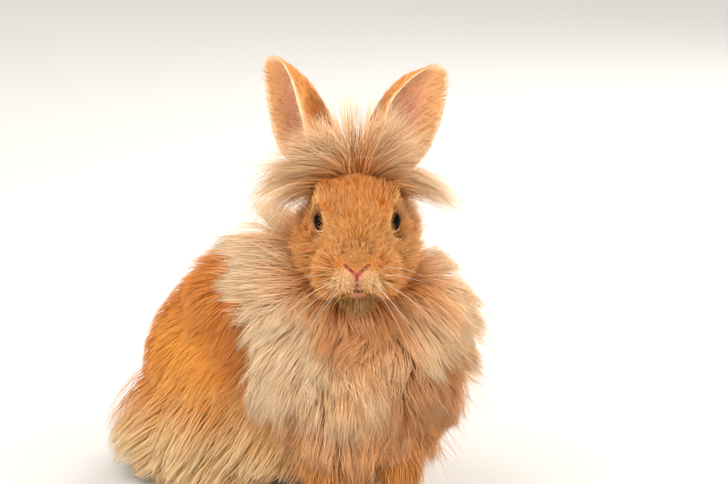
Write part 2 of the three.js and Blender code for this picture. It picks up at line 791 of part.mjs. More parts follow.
const torso = largest(less(keepSide(trunkSolid, neckFoot, neckAxis), ...thighsGrown, ...hindFeetGrown));

const neckMesh = drape(neckForm, v(-185, -46, -30), v(95, 235, 215), fleshCell);
const neck = largest(
  less(
    joined(keepSide(solidOf(neckMesh), neckFoot, neckAxis.clone().negate()), ...maneLocks()),
    keepSide(trunkGrown, neckFoot, neckAxis, -gap / 2),
    headGrown,
    ...forelegsGrown,
    ...thighsGrown,
    ...earsGrown,
  ),
);

const haunch = (side) =>
  largest(less(joined(trunkSolid.intersect(solidOf(thighs[side])), ...skirtLocks(side)), ...hindFeetGrown));
const tail = largest(
  less(
    joined(solidOf(drape(tailCore, v(-180, 120, 0), v(-60, 240, 90), limbCell)), ...tailLocks()),
    trunkGrown,
    ...hindFeetGrown,
  ),
);

// The scene graph

const finishes = Object.fromEntries(
  Object.entries({
    orange: { color: 0xc98550, roughness: 0.9 },
    rust: { color: 0xb9733c, roughness: 0.9 },
    cream: { color: 0xdcb48a, roughness: 0.95 },
    eye: { color: 0x1a0f0b, roughness: 0.1 },
    ear: { color: 0xcd9674, roughness: 0.8 },
  }).map(([name, look]) => [name, new THREE.MeshStandardMaterial({ ...look, metalness: 0 })]),
);

const rabbit = new THREE.Group();

// Draws the ends of each very short edge together, so that no sliver is left by a cut.
function withoutSlivers(points, triangles) {
  const same = Array.from({ length: points.length / 3 }, (unused, i) => i);
  const first = (i) => {
    while (same[i] !== i) i = same[i];
    return i;
  };
  const span = (a, b) => Math.hypot(...[0, 1, 2].map((n) => points[a * 3 + n] - points[b * 3 + n]));
  for (let i = 0; i < triangles.length; i += 3)
    for (let k = 0; k < 3; k++) {
      const a = first(triangles[i + k]);
      const b = first(triangles[i + ((k + 1) % 3)]);
      if (a !== b && span(a, b) < shortestEdge) same[Math.max(a, b)] = Math.min(a, b);
    }
  const kept = new Map();
  for (let i = 0; i < triangles.length; i += 3) {
    const face = [0, 1, 2].map((k) => first(triangles[i + k]));
    const key = [...face].sort((a, b) => a - b).join();
    if (new Set(face).size < 3) continue;
    if (!kept.delete(key)) kept.set(key, face); // two faces back to back close on each other
  }
  return meshOf(points, [...kept.values()].flat());
}

function add(name, solid, finish) {
  const mesh = solid.getMesh();
  const part = new THREE.Mesh(withoutSlivers(mesh.vertProperties, mesh.triVerts), finishes[finish]);
  part.name = name;
  rabbit.add(part);
}

add("head", head, "orange");
add("neck_mane", neck, "cream");
add("torso", torso, "rust");
add("tail", tail, "cream");
for (const [word, side] of sides) {
  add("ear_" + word, largest(less(earSheet(side), headGrown)), "ear");
  add("eye_" + word, ball(eyeAt(side), eyeRadius), "eye");
  add("haunch_" + word, haunch(side), "orange");
  const upper = less(aboveFloor(solidOf(forelegs[side]), 0), trunkGrown);
  add("foreleg_" + word, largest(joined(upper, ...foreClaws(side))), "cream");
  const foot = aboveFloor(solidOf(hindFeet[side]), 0);
  add("hind_foot_" + word, largest(joined(foot, ...hindClaws(side))), "cream");
}

const box = new THREE.Box3().setFromObject(rabbit);
rabbit.position.set(-(box.min.x + box.max.x) / 2, -(box.min.y + box.max.y) / 2, -box.min.z);

export default rabbit;
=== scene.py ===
import math

import bpy
import numpy as np
from mathutils import Euler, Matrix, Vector
from mathutils.kdtree import KDTree


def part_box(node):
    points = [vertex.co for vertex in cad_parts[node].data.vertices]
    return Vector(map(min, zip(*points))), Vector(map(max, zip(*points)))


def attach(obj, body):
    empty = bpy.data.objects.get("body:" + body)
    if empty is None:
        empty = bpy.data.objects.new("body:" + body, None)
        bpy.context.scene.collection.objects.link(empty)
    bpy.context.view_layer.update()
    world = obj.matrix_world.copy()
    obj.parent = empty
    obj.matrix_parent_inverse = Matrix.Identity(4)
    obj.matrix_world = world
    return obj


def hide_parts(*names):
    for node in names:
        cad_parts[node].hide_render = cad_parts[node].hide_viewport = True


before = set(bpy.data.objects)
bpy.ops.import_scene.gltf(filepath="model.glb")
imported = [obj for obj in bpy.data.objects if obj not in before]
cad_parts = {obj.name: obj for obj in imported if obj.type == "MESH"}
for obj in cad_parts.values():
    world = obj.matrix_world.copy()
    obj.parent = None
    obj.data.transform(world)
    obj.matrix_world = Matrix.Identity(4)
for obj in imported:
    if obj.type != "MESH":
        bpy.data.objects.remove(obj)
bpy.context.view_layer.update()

# A lionhead rabbit: one skin under separate coats of tufts, with its own eyes, claws and whiskers.
# Everything is worked out in millimetres, with the face towards -Y, and placed by the two eyes.

draw = np.random.default_rng(11)
down = np.array([0.0, 0.0, -1.0])
millimetre = 0.001


def unit(vectors):
    return vectors / np.maximum(np.linalg.norm(vectors, axis=-1, keepdims=True), 1e-9)


def vec(x, y, z):
    return np.array([x, y, z], float)


def fade(value, gone, full):  # 0 at gone, 1 at full, smooth between
    t = np.clip((value - gone) / (full - gone), 0, 1)
    return t * t * (3 - 2 * t)


def lerp(a, b, share):
    return a + (b - a) * share


def distance(places, centre):
    return np.linalg.norm(places - centre, axis=-1)


# Where things are, as in the solids, apart from the eyes, which sit 0.8 mm further in

body = {"pelvisTurn": 38, "loinHalfWidth": 58, "coatDepth": 7, "tailRadius": 19}
head = {"pitch": 24, "width": 65, "coatDepth": 2.4,
        "eyeRadius": 8, "eyeSpacing": 33.0, "eyeForward": 1, "eyeUp": 6.3}
face = {"nostrilTop": 176, "nostrilFoot": 170, "mouth": 159, "mouthWidth": 26, "mouthArch": 6.5}
legs = {"coatDepth": 3, "footDepth": 1.6, "pawWidth": 21, "foreFootSpread": 21,
        "hindFootLength": 80, "hindFootSpread": 48}
lowest = {"skin": 0.2, "tuftRoot": 0.6, "tuft": 0.9, "gathered": 0.8}  # how near each may come to the floor

turn = math.radians(body["pelvisTurn"])
hipForward = vec(math.sin(turn), -math.cos(turn), 0)
hipLeft = vec(math.cos(turn), math.sin(turn), 0)
hipMiddle = vec(-80, 148, 0)
pitch = math.radians(head["pitch"])
noseAxis = vec(0, -math.cos(pitch), -math.sin(pitch))
crownAxis = vec(0, -math.sin(pitch), math.cos(pitch))
headMiddle = vec(0, 0, 188)


def fromHip(forward, left, up):
    return hipMiddle + vec(0, 0, up) + hipForward * forward + hipLeft * left


def fromHead(left, forward, up):
    return headMiddle + vec(left, 0, 0) + noseAxis * forward + crownAxis * up


def eyeAt(side):  # side is 1 on the rabbit's left and -1 on its right, here and below
    return fromHead(side * head["eyeSpacing"] / 2, head["eyeForward"], head["eyeUp"])


def gazeOf(side):
    return unit(vec(side, -0.46, 0.12))


eyeCorners = [list(corner) for name in ("eye_left", "eye_right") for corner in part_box(name)]
origin = np.mean(eyeCorners, axis=0) - eyeAt(0) * millimetre


def toWorld(places):
    return np.asarray(places) * millimetre + origin


# Smooth forms: functions of many places that give about the distance to a surface

def ellipsoid(centre, radii, turned=(0, 0, 0)):
    spin = np.array(Euler([math.radians(a) for a in turned]).to_matrix())
    centre, radii = np.array(centre, float), np.array(radii, float)

    def form(p):
        local = (p - centre) @ spin / radii
        near = np.sqrt((local * local).sum(-1))
        steep = local / radii
        return near * (near - 1) / (np.sqrt((steep * steep).sum(-1)) + 1e-9)
    return form


def taper(a, b, ra, rb):
    a, b = np.array(a, float), np.array(b, float)
    long = np.linalg.norm(b - a)
    axis = (b - a) / long
    slope = (ra - rb) / long
    lean = math.sqrt(1 - slope * slope)

    def form(p):
        away = p - a
        along = away @ axis
        off = np.sqrt(np.maximum((away * away).sum(-1) - along * along, 0))
        foot = along + off * slope / lean
        side = off * lean + along * slope - ra
        start = np.hypot(along, off) - ra
        end = np.hypot(along - long, off) - rb
        return np.where(foot < 0, start, np.where(foot > long, end, side))
    return form


def blend(softness, forms):
    def form(p):
        near = forms[0](p)
        for other in forms[1:]:
            far = other(p)
            mix = np.maximum(softness - np.abs(near - far), 0) / softness
            near = np.minimum(near, far) - mix * mix * softness / 4
        return near
    return form


def inset(form, depth):
    return lambda p: form(p) + depth


def slopeOf(form, p, h=0.3):
    return np.stack([(form(p + step) - form(p - step)) / (2 * h) for step in np.eye(3) * h], axis=-1)


def bothSides(make):
    return [make(1), make(-1)]


def hipEllipsoid(forward, left, up, radii):
    return ellipsoid(fromHip(forward, left, up), radii, (0, 0, body["pelvisTurn"]))


def headEllipsoid(left, forward, up, radii):
    return ellipsoid(fromHead(left, forward, up), radii, (head["pitch"], 0, 0))


trunkForm = blend(18, [
    ellipsoid((4, 38, 98), (44, 38, 46)),
    ellipsoid((-12, 72, 104), (50, 54, 54), (0, 0, 18)),
    ellipsoid((-48, 110, 104), (body["loinHalfWidth"] - 2, 60, 60), (0, 0, 32)),
    ellipsoid((-38, 88, 56), (50, 66, 44), (0, 0, 34)),
    hipEllipsoid(-2, 0, 84, (54, 48, 56)),
    hipEllipsoid(6, 0, 44, (34, 54, 34)),
    taper((0, 26, 166), (4, 44, 118), 26, 40),
    *bothSides(lambda side: ellipsoid((4 + side * 28, 38, 88), (20, 28, 36))),
    *bothSides(lambda side: hipEllipsoid(16, side * 36, 62, (30, 58, 54))),
    *bothSides(lambda side: hipEllipsoid(12, side * 40, 30, (27, 56, 30))),
])
ruffCore = blend(18, [
    ellipsoid((1, 28, 126), (52, 32, 38)),
    ellipsoid((4, 22, 102), (46, 30, 32)),
    ellipsoid((-14, 52, 152), (36, 26, 28)),
])
ruffOutline = blend(22, [
    ellipsoid((6, 26, 124), (72, 50, 50)),
    ellipsoid((4, 14, 89), (64, 40, 46)),
    ellipsoid((-25, 50, 148), (56, 40, 38)),
])
headParts = [
    headEllipsoid(0, -13, 1, (28, 32, 27)),
    taper(fromHead(0, 2, 0), fromHead(0, 30, -4), 21, 17.5),
    headEllipsoid(0, 43.5, 6.5, (8.5, 6, 9)),
    headEllipsoid(0, 33, -19, (11, 11, 9)),
    headEllipsoid(0, 8, -20, (18, 26, 13)),
    *bothSides(lambda side: headEllipsoid(side * 10.5, 33, -7, (12, 13, 12))),
    *bothSides(lambda side: headEllipsoid(side * (head["width"] - 35) / 2, -7, -14, (17.5, 28, 20))),
    *bothSides(lambda side: headEllipsoid(side * 17, -1, 14.6, (9, 14, 8.5))),
    headEllipsoid(0, 23, 4.6, (9.5, 21, 13.6)),
]
headForm, softHead = blend(8, headParts), blend(13, headParts)
skirtOutline = blend(18, [trunkForm, *bothSides(lambda side: hipEllipsoid(10, side * 46, 26, (36, 66, 34)))])


def wristOf(side):
    return vec(3 + side * legs["foreFootSpread"], 12, 22)


def foreToeAt(side, toe):
    return wristOf(side) + vec(toe * 6, -21 + abs(toe) * 3, -15.5)


def hindToeAt(side, toe):
    return fromHip(legs["hindFootLength"] - 28 - abs(toe) * 4, side * legs["hindFootSpread"] + toe * 7, 6.5)


def withToes(foot, toes):  # the coat is half as deep on the toes
    return blend(2, [foot, *[inset(toe, legs["footDepth"] * 0.5) for toe in toes]])


def forelegForm(side):
    knee = vec(3 + side * legs["foreFootSpread"], 14, 42)
    leg = blend(6, [
        inset(taper((4 + side * 25, 34, 78), knee, 19, 14), legs["coatDepth"]),
        inset(taper(knee, wristOf(side), 14, 11), legs["coatDepth"] - 0.6),
        inset(ellipsoid(wristOf(side) + vec(0, -6, -13), (legs["pawWidth"] / 2, 14, 11)), legs["footDepth"]),
    ])
    return withToes(leg, [ellipsoid(foreToeAt(side, toe), (4.2, 9, 7.4)) for toe in (-1, 0, 1)])


def hindFootForm(side):
    spread = side * legs["hindFootSpread"]
    heel, ball = fromHip(-16, spread, 11), fromHip(legs["hindFootLength"] - 44, spread, 9)
    toes = [ellipsoid(hindToeAt(side, toe), (4.8, 13, 8), (0, 0, body["pelvisTurn"])) for toe in (-1, 0, 1)]
    return withToes(inset(taper(heel, ball, 13, 12), legs["footDepth"]), toes)


tailCore = blend(6, [
    hipEllipsoid(-57, 0, 44, [body["tailRadius"] * share for share in (0.75, 0.7, 0.95)]),
    hipEllipsoid(-46, 0, 50, (11, 14, 12)),
])
loin = ellipsoid((-70, 98, 125), (29, 37, 25), (0, 0, 32))
neckSkin = blend(14, [inset(trunkForm, body["coatDepth"]), ruffCore, loin])
headSkin = inset(softHead, head["coatDepth"])
limbs = [*bothSides(forelegForm), *bothSides(hindFootForm)]
limbForm = blend(4, limbs)
bodySkin = blend(7, [neckSkin, *limbs, inset(tailCore, 1), headSkin])
sockets = {side: blend(2, [
    ellipsoid(eyeAt(side), [head["eyeRadius"] + 0.4] * 3),
    taper(eyeAt(side), eyeAt(side) + gazeOf(side) * 14, 8.0, 11.5),
]) for side in (1, -1)}


def skinForm(p):  # hollowed where the eyeballs sit, and flat under the feet
    flesh = bodySkin(p)
    for side in (1, -1):
        flesh = np.maximum(flesh, -sockets[side](p))
    return np.maximum(flesh, lowest["skin"] - p[..., 2])


# Meshes

skinGrid = {  # how far apart points are on the face and elsewhere, and the reach of both along x, y and z
    "fine": 0.62, "coarse": 2.6, "growth": 0.06,
    "spans": [(-175, 75, -16, 16), (-62, 215, -60, -40), (-3, 222, 152, 184)],
}


def gradedLine(low, high, faceLow, faceHigh):
    line = [low]
    while line[-1] < high:
        away = max(faceLow - line[-1], line[-1] - faceHigh, 0)
        line.append(line[-1] + min(skinGrid["fine"] + skinGrid["growth"] * away, skinGrid["coarse"]))
    return np.array(line)


# One point in each cell that the surface crosses, and one quad round each crossed edge
def drapeOver(form, lines):
    size = [len(line) for line in lines]
    y, z = np.meshgrid(lines[1], lines[2], indexing="ij")
    values = np.empty(size, np.float32)
    for i, x in enumerate(lines[0]):
        values[i] = form(np.stack([np.full_like(y, x), y, z], axis=-1))
    inside = values < 0
    corners = [(a, b, c) for a in (0, 1) for b in (0, 1) for c in (0, 1)]
    span = [length - 1 for length in size]
    count = sum(inside[a:span[0] + a, b:span[1] + b, c:span[2] + c].astype(np.int8) for a, b, c in corners)
    crossed = (count > 0) & (count < 8)
    cells = np.argwhere(crossed)
    number = np.full(span, -1, np.int32)
    number[crossed] = np.arange(len(cells))
    total, hits = np.zeros((len(cells), 3)), np.zeros((len(cells), 1))
    for first in corners:
        for axis in range(3):
            if first[axis]:
                continue
            ia = cells + first
            ib = ia + np.eye(3, dtype=int)[axis]
            va, vb = values[tuple(ia.T)], values[tuple(ib.T)]
            change = ((va < 0) != (vb < 0))[:, None]
            share = (va / np.where(va == vb, 1, va - vb))[:, None]
            pa = np.stack([lines[n][ia[:, n]] for n in range(3)], axis=-1)
            pb = np.stack([lines[n][ib[:, n]] for n in range(3)], axis=-1)
            total += np.where(change, pa + (pb - pa) * share, 0)
            hits += change
    points = total / hits
    quads = []
    for axis in range(3):
        s, t = np.eye(3, dtype=int)[(axis + 1) % 3], np.eye(3, dtype=int)[(axis + 2) % 3]
        low = np.take(inside, range(size[axis] - 1), axis)
        high = np.take(inside, range(1, size[axis]), axis)
        spots = np.argwhere(low != high)
        ring = [number[tuple((spots - back).T)] for back in (s + t, t, 0 * s, s)]
        ring = np.stack(ring, axis=-1)
        starts = inside[tuple(spots.T)]
        quads.append(np.where(starts[:, None], ring, ring[:, ::-1]))
    for step in range(3):  # closer to the surface each time
        slope = slopeOf(form, points)
        short = form(points) / ((slope * slope).sum(-1) + 1e-6)
        points = points - slope * np.clip(short, -0.8, 0.8)[:, None]
    return points, np.concatenate(quads)


def trianglesOf(faces):
    return faces if faces.shape[1] == 3 else np.concatenate([faces[:, [0, 1, 2]], faces[:, [0, 2, 3]]])


def meshObject(name, points, faces):  # all of its faces have the same number of corners
    mesh = bpy.data.meshes.new(name)
    sides = faces.shape[1]
    mesh.vertices.add(len(points))
    mesh.vertices.foreach_set("co", toWorld(points).astype(np.float32).ravel())
    mesh.loops.add(faces.size)
    mesh.loops.foreach_set("vertex_index", faces.astype(np.int32).ravel())
    mesh.polygons.add(len(faces))
    mesh.polygons.foreach_set("loop_start", np.arange(0, faces.size, sides, dtype=np.int32))
    mesh.polygons.foreach_set("use_smooth", np.ones(len(faces), bool))
    mesh.update(calc_edges=True)
    thing = bpy.data.objects.new(name, mesh)
    bpy.context.scene.collection.objects.link(thing)
    return thing


def setAttribute(thing, name, values):
    kinds = {1: ("FLOAT", "value"), 3: ("FLOAT_VECTOR", "vector"), 4: ("FLOAT_COLOR", "color")}
    kind, slot = kinds[1 if values.ndim == 1 else values.shape[1]]
    layer = thing.data.attributes.new(name, kind, "POINT")
    layer.data.foreach_set(slot, values.astype(np.float32).ravel())


def setNormals(thing, normals):
    layer = thing.data.attributes.new("custom_normal", "FLOAT_VECTOR", "POINT")
    layer.data.foreach_set("vector", unit(normals).astype(np.float32).ravel())


def unwrap(points, normals, low, high):  # six views along the axes, side by side, three across and two up
    margin, room = 0.06, 0.88  # of one view
    side = np.abs(normals).argmax(-1)
    back = np.take_along_axis(normals, side[:, None], 1)[:, 0] < 0
    share = np.clip((points - low) / (high - low), 0, 1)
    across = np.where(side == 0, share[:, 1], share[:, 0])
    over = np.where(side == 2, share[:, 1], share[:, 2])
    column = side + margin + across * room
    row = back + margin + over * room
    return np.stack([column / 3, row / 2], axis=-1)


def setBakePlaces(thing, faces, places):  # places has one row for each point, or for each corner of each face
    layer = thing.data.uv_layers.new(name="OFBake")
    corners = places if places.ndim == 3 else places[faces]
    layer.data.foreach_set("uv", corners.astype(np.float32).ravel())


def join(parts):  # parts are pairs of points and triangles
    points, faces, start = [], [], 0
    for some, triangles in parts:
        points.append(some)
        faces.append(triangles + start)
        start += len(some)
    return np.concatenate(points), np.concatenate(faces)


def crossOf(points, triangles):  # square to each triangle, and as long as twice its area
    a, b, c = (points[triangles[:, n]] for n in range(3))
    return np.cross(b - a, c - a)


def normalsOf(points, triangles):
    flat = crossOf(points, triangles)
    total = np.zeros_like(points)
    for n in range(3):
        for axis in range(3):
            total[:, axis] += np.bincount(triangles[:, n], flat[:, axis], len(points))
    return unit(total)


def turnedOut(points, faces, some, out):  # turned over where some of its points look the wrong way
    return faces if (normalsOf(points, faces)[some] * out).sum() > 0 else faces[:, ::-1]


def circle(count, across, over):
    angle = np.linspace(0, 2 * math.pi, count, endpoint=False)[:, None]
    return np.cos(angle) * across + np.sin(angle) * over


def loft(rings, closed=False):  # rings is an array of rings, points round each, and x y z
    count, around = rings.shape[:2]
    number = np.arange(count * around).reshape(count, around)
    if closed:
        number = np.vstack([number, number[:1]])
    a, b = number[:-1], np.roll(number[:-1], -1, 1)
    d, c = number[1:], np.roll(number[1:], -1, 1)
    quads = np.stack([a, b, c, d], axis=-1).reshape(-1, 4)
    faces = trianglesOf(quads)
    if not closed:
        first = [(0, i + 1, i) for i in range(1, around - 1)]
        last = [(number[-1, 0], number[-1, i], number[-1, i + 1]) for i in range(1, around - 1)]
        faces = np.concatenate([faces, np.array(first + last)])
    return rings.reshape(-1, 3), faces


# Camera: the photo's view, 1.5 m away and looking down a little

camera = {"distance": 1500, "looksDown": 12, "target": vec(4, 0, 180), "pixel": 0.58, "imageWidth": 728}


def makeCamera():
    data = bpy.data.cameras.new("camera")
    thing = bpy.data.objects.new("camera", data)
    bpy.context.scene.collection.objects.link(thing)
    tilt = math.radians(camera["looksDown"])
    back = vec(0, -math.cos(tilt), math.sin(tilt)) * camera["distance"]
    thing.location = Vector(toWorld(camera["target"] + back))
    thing.rotation_euler = (math.radians(90) - tilt, 0, 0)
    data.sensor_width = 36
    data.lens = data.sensor_width * camera["distance"] / (camera["imageWidth"] * camera["pixel"])
    data.clip_start, data.clip_end = 0.05, 30
    bpy.context.scene.camera = thing


# Colours, from sRGB numbers as a picture shows them

def srgb(red, green, blue):
    share = np.array([red, green, blue]) / 255
    return np.where(share <= 0.04045, share / 12.92, ((share + 0.055) / 1.055) ** 2.4)


tones = {
    "forehead": srgb(204, 110, 22), "bridge": srgb(196, 114, 38), "cheek": srgb(212, 130, 58),
    "outerCheek": srgb(222, 120, 36), "paleTanAndLight": srgb(240, 180, 104), "whiskerPad": srgb(242, 200, 150),
    "nosePad": srgb(182, 124, 66), "chin": srgb(130, 94, 46), "lip": srgb(206, 140, 116),
    "nostril": srgb(92, 40, 32), "lid": srgb(196, 146, 96), "pink": srgb(204, 112, 98),
    "mouth": srgb(60, 34, 22), "mane": srgb(255, 216, 172), "maneTan": srgb(246, 182, 116),
    "throat": srgb(232, 138, 42), "maneShade": srgb(184, 106, 42), "back": srgb(206, 114, 44),
    "flankCreaseShade": srgb(156, 78, 26), "thigh": srgb(244, 156, 58), "skirt": srgb(255, 214, 144),
    "leg": srgb(190, 118, 56), "belly": srgb(240, 196, 144), "tail": srgb(248, 206, 156),
    "earBack": srgb(222, 148, 82), "earInside": srgb(200, 136, 112), "earTan": srgb(216, 156, 102),
    "earRim": srgb(250, 218, 178), "darkMarkAndShade": srgb(140, 72, 24),
}


def allOver(tone, places):
    return np.tile(tones[tone], (len(places), 1))


def paint(base, *layers):  # a layer is a tone's name and how much of it shows at each place
    for name, share in layers:
        base = lerp(base, tones[name], np.clip(share, 0, 1)[:, None])
    return base


def patch(places, centre, radii):  # 1 in the middle of a soft ellipsoid, 0 outside it
    near = np.linalg.norm((places - np.array(centre)) / np.array(radii), axis=-1)
    return fade(near, 1, 0.35)


def shares(places):
    onHead = fade(headForm(places), 4, -0.5)
    return {
        "head": onHead,
        "mane": fade(ruffCore(places), 7, -1) * (1 - onHead),
        "legs": np.minimum(fade(limbForm(places), 6, 1), fade(places[:, 2], 70, 45)),
        "tail": fade(tailCore(places), 8, 2),
    }


def wobble(places, size, seed):  # slow smooth variation between -1 and 1
    spin = np.random.default_rng(seed)
    total = np.zeros(len(places))
    for wave in range(5):
        way = unit(spin.normal(size=3)) * spin.uniform(0.7, 1.4) * 2 * math.pi / size
        total += np.sin(places @ way + spin.uniform(0, 6.3))
    return total / 2.6


def bodyTone(places, legShare):
    z = places[:, 2]
    low = fade(z, 88, 44) * fade(np.abs((places - fromHip(0, 0, 0)) @ hipLeft), 20, 40)
    return paint(
        allOver("back", places),
        # painted shade in the crease between the mane and the haunch, on the rabbit's right side
        ("flankCreaseShade", patch(places, (-52, 48, 92), (36, 56, 84)) * 0.9),
        ("thigh", patch(places, fromHip(24, -50, 74), (46, 52, 60))),
        ("thigh", patch(places, fromHip(22, 52, 74), (48, 60, 66))),
        ("skirt", low),
        ("belly", fade(z, 40, 12) * (1 - low)),
        ("back", 0.5 * np.abs(wobble(places, 38, 3))),
        ("leg", legShare),
        ("belly", legShare * fade(z, 22, 6) * 0.6),
    )


def maneTone(places):
    x, z = places[:, 0], places[:, 2]
    return paint(
        allOver("mane", places),
        ("maneTan", 0.5 + 0.9 * wobble(places, 24, 5)),
        ("maneTan", 0.8 * patch(places, (8, 0, 116), (56, 60, 48))),
        ("throat", patch(places, (2, -12, 142), (30, 40, 25))),
        ("maneShade", patch(places, (30, 0, 108), (24, 44, 30))),
        # painted shade: the lowest hair of the bib is darker and more orange towards the bottom
        ("throat", 0.8 * fade(z, 106, 82)),
        ("mane", fade(x, -14, -34) * fade(z, 112, 134)),
        ("mane", 0.8 * patch(places, (-34, 0, 122), (26, 40, 26))),
        ("cheek", 0.7 * fade(headForm(places), 11, 2)),
    )


def faceTone(places):
    x, y, z = places.T
    tone = paint(
        allOver("cheek", places),
        ("forehead", fade(z, 190, 204) * fade(y, 30, 0)),
        ("bridge", patch(places, (0, -34, 190), (15, 40, 16))),
        ("outerCheek", fade(np.abs(x), 24, 31) * fade(z, 198, 186) * fade(z, 160, 172)),
        # painted light: the cheek on the rabbit's left is lighter, as if lit more strongly from that side
        ("paleTanAndLight", 0.4 * fade(x, 12, 26) * fade(z, 208, 198) * fade(z, 164, 176)),
        ("nosePad", patch(places, (0, -48, 181), (10, 16, 9))),
    )
    for side in (1, -1):
        tone = paint(
            tone,
            ("paleTanAndLight", patch(places, eyeAt(side) + vec(side * 5, -3, 12), (7, 9, 6))),
            ("paleTanAndLight", 0.7 * patch(places, eyeAt(side) + vec(-side, -9, -8), (6, 9, 5))),
            ("whiskerPad", 0.8 * patch(places, (side * 6.5, -47, 167), (10.5, 17, 10))),
        )
    return paint(
        tone,
        ("chin", fade(z, 160, 155) * fade(y, -10, -24)),
        # painted shadow under the forelock's sweeps, along the front of the crown
        ("darkMarkAndShade", 0.75 * fade(z, 216, 222) * fade(y, 16, 8)),
        ("darkMarkAndShade", 0.3 * np.maximum(wobble(places, 9, 21), 0) * fade(z, 184, 200)),
        ("maneTan", fade(y, 0, 24) * fade(z, 214, 196)),
        ("mane", 0.6 * fade(y, 14, 32)),
    )


def markings(places):
    part = shares(places)
    tone = bodyTone(places, part["legs"])
    tone = lerp(tone, maneTone(places), part["mane"][:, None])
    tone = paint(tone, ("tail", part["tail"]))
    return lerp(tone, faceTone(places), part["head"][:, None])


# The skin, with the folds of the nose and mouth, and a lid ring round each eye

def frontLine(line, places):  # distance from places to a line given as x, z from the front
    best = np.full(len(places), 1e3)
    flat = places[:, [0, 2]]
    for a, b in zip(line[:-1], line[1:]):
        a, b = np.array(a), np.array(b)
        t = np.clip((flat - a) @ (b - a) / ((b - a) @ (b - a)), 0, 1)
        best = np.minimum(best, np.linalg.norm(flat - a - t[:, None] * (b - a), axis=-1))
    return np.where(places[:, 1] < -26, best, 1e3)


def mouthLine():
    half = face["mouthWidth"] / 2
    return [(t * half, face["mouth"] + 0.5 - face["mouthArch"] * t * t) for t in np.linspace(-1, 1, 13)]


def nostrilLine(side):
    rise = face["nostrilTop"] - face["nostrilFoot"]
    return [(side * (0.6 + 6.2 * t), face["nostrilFoot"] + rise * t ** 0.8) for t in np.linspace(0, 1, 7)]


philtrumLine = [(0, face["nostrilFoot"]), (0, face["mouth"])]
lipLine = [(-2.6, 156.8), (0, 157.2), (2.6, 156.8)]
noseCrease = [(8.5 * math.sin(a), 180 + 7.6 * math.cos(a)) for a in np.linspace(-1.3, 1.3, 11)]


def cut(places, line, width):
    return np.exp(-((frontLine(line, places) / width) ** 2))


def cutNostrils(places, width, start=0):  # both, from one of their points outwards
    return np.maximum(*[cut(places, nostrilLine(side)[start:], width) for side in (1, -1)])


folds = {  # depth and width of each groove, and how wide it stays bare of fur
    "nostrils": (2.4, 0.85, 2.1), "philtrum": (1.7, 0.8, 1.2), "mouth": (2.4, 0.95, 1.9),
    "noseCrease": (0.7, 0.9, 0.8),
}


def foldFace(points, normals):
    deep, width, _ = folds["nostrils"]
    depth = deep * cutNostrils(points, width)
    for name, line in (("philtrum", philtrumLine), ("mouth", mouthLine()), ("noseCrease", noseCrease)):
        deep, width, _ = folds[name]
        depth = np.maximum(depth, deep * cut(points, line, width))
    return points - normals * depth[:, None]


def faceTint(points, base, lines=1):  # lines is how strongly the painted shade in the nostrils, the philtrum and the mouth is drawn
    return paint(
        base,
        ("lip", 0.8 * cut(points, philtrumLine, 3.4)),
        ("pink", 0.35 * cut(points, lipLine, 1.1)),
        # painted shade in the crease above the nose pad
        ("darkMarkAndShade", 0.8 * cut(points, noseCrease, 1.0)),
        ("pink", cutNostrils(points, 1.2)),
        ("pink", patch(points, (0, -48, face["nostrilFoot"] + 1), (4.4, 14, 3.6))),
        # painted shade in the nostril slits, the philtrum groove and the mouth line
        ("nostril", cutNostrils(points, 0.65, 2) * 0.8 * lines),
        ("nostril", 0.85 * cut(points, philtrumLine, 0.7) * lines),
        ("mouth", cut(points, mouthLine(), 1.0) * lines),
    )


def bareFace(points):  # 1 where no tuft grows
    bare = np.maximum(cutNostrils(points, folds["nostrils"][2]), cut(points, lipLine, 1.0))
    bare = np.maximum(bare, cut(points, philtrumLine, folds["philtrum"][2]))
    bare = np.maximum(bare, cut(points, mouthLine(), folds["mouth"][2]))
    return np.maximum(bare, 0.3 * cut(points, noseCrease, folds["noseCrease"][2]))


lids = {  # fur starts at the bareTo shares of the opening, behind the eye and in front of it
    "halfLength": 6.4, "halfHeight": 5.1, "thickness": 1.25, "slant": 22, "around": 72,
    "bareTo": (1.12, 1.24),
}


def lidAxes(side):  # along the opening, whose front corner is the lower one, and across it
    back = unit(np.cross([0, 0, 1], gazeOf(side))) * side
    up = np.cross(gazeOf(side), back * side)
    slant = math.radians(lids["slant"])
    return back * math.cos(slant) + up * math.sin(slant), up * math.cos(slant) - back * math.sin(slant)


def lidAngle(side, places):  # how far places lie from the gaze, as a share of the opening in that direction
    out = gazeOf(side)
    along, over = lidAxes(side)
    away = unit(places - eyeAt(side))
    angle = np.arccos(np.clip(away @ out, -1, 1))
    bearing = np.arctan2(away @ over, away @ along)
    return angle / lidOpening(bearing)


def lidOpening(bearing):
    cosine, sine = np.cos(bearing), np.sin(bearing)
    reach = 1 / np.sqrt((cosine / lids["halfLength"]) ** 2 + (sine / lids["halfHeight"]) ** 2)
    return np.arcsin(reach / head["eyeRadius"])


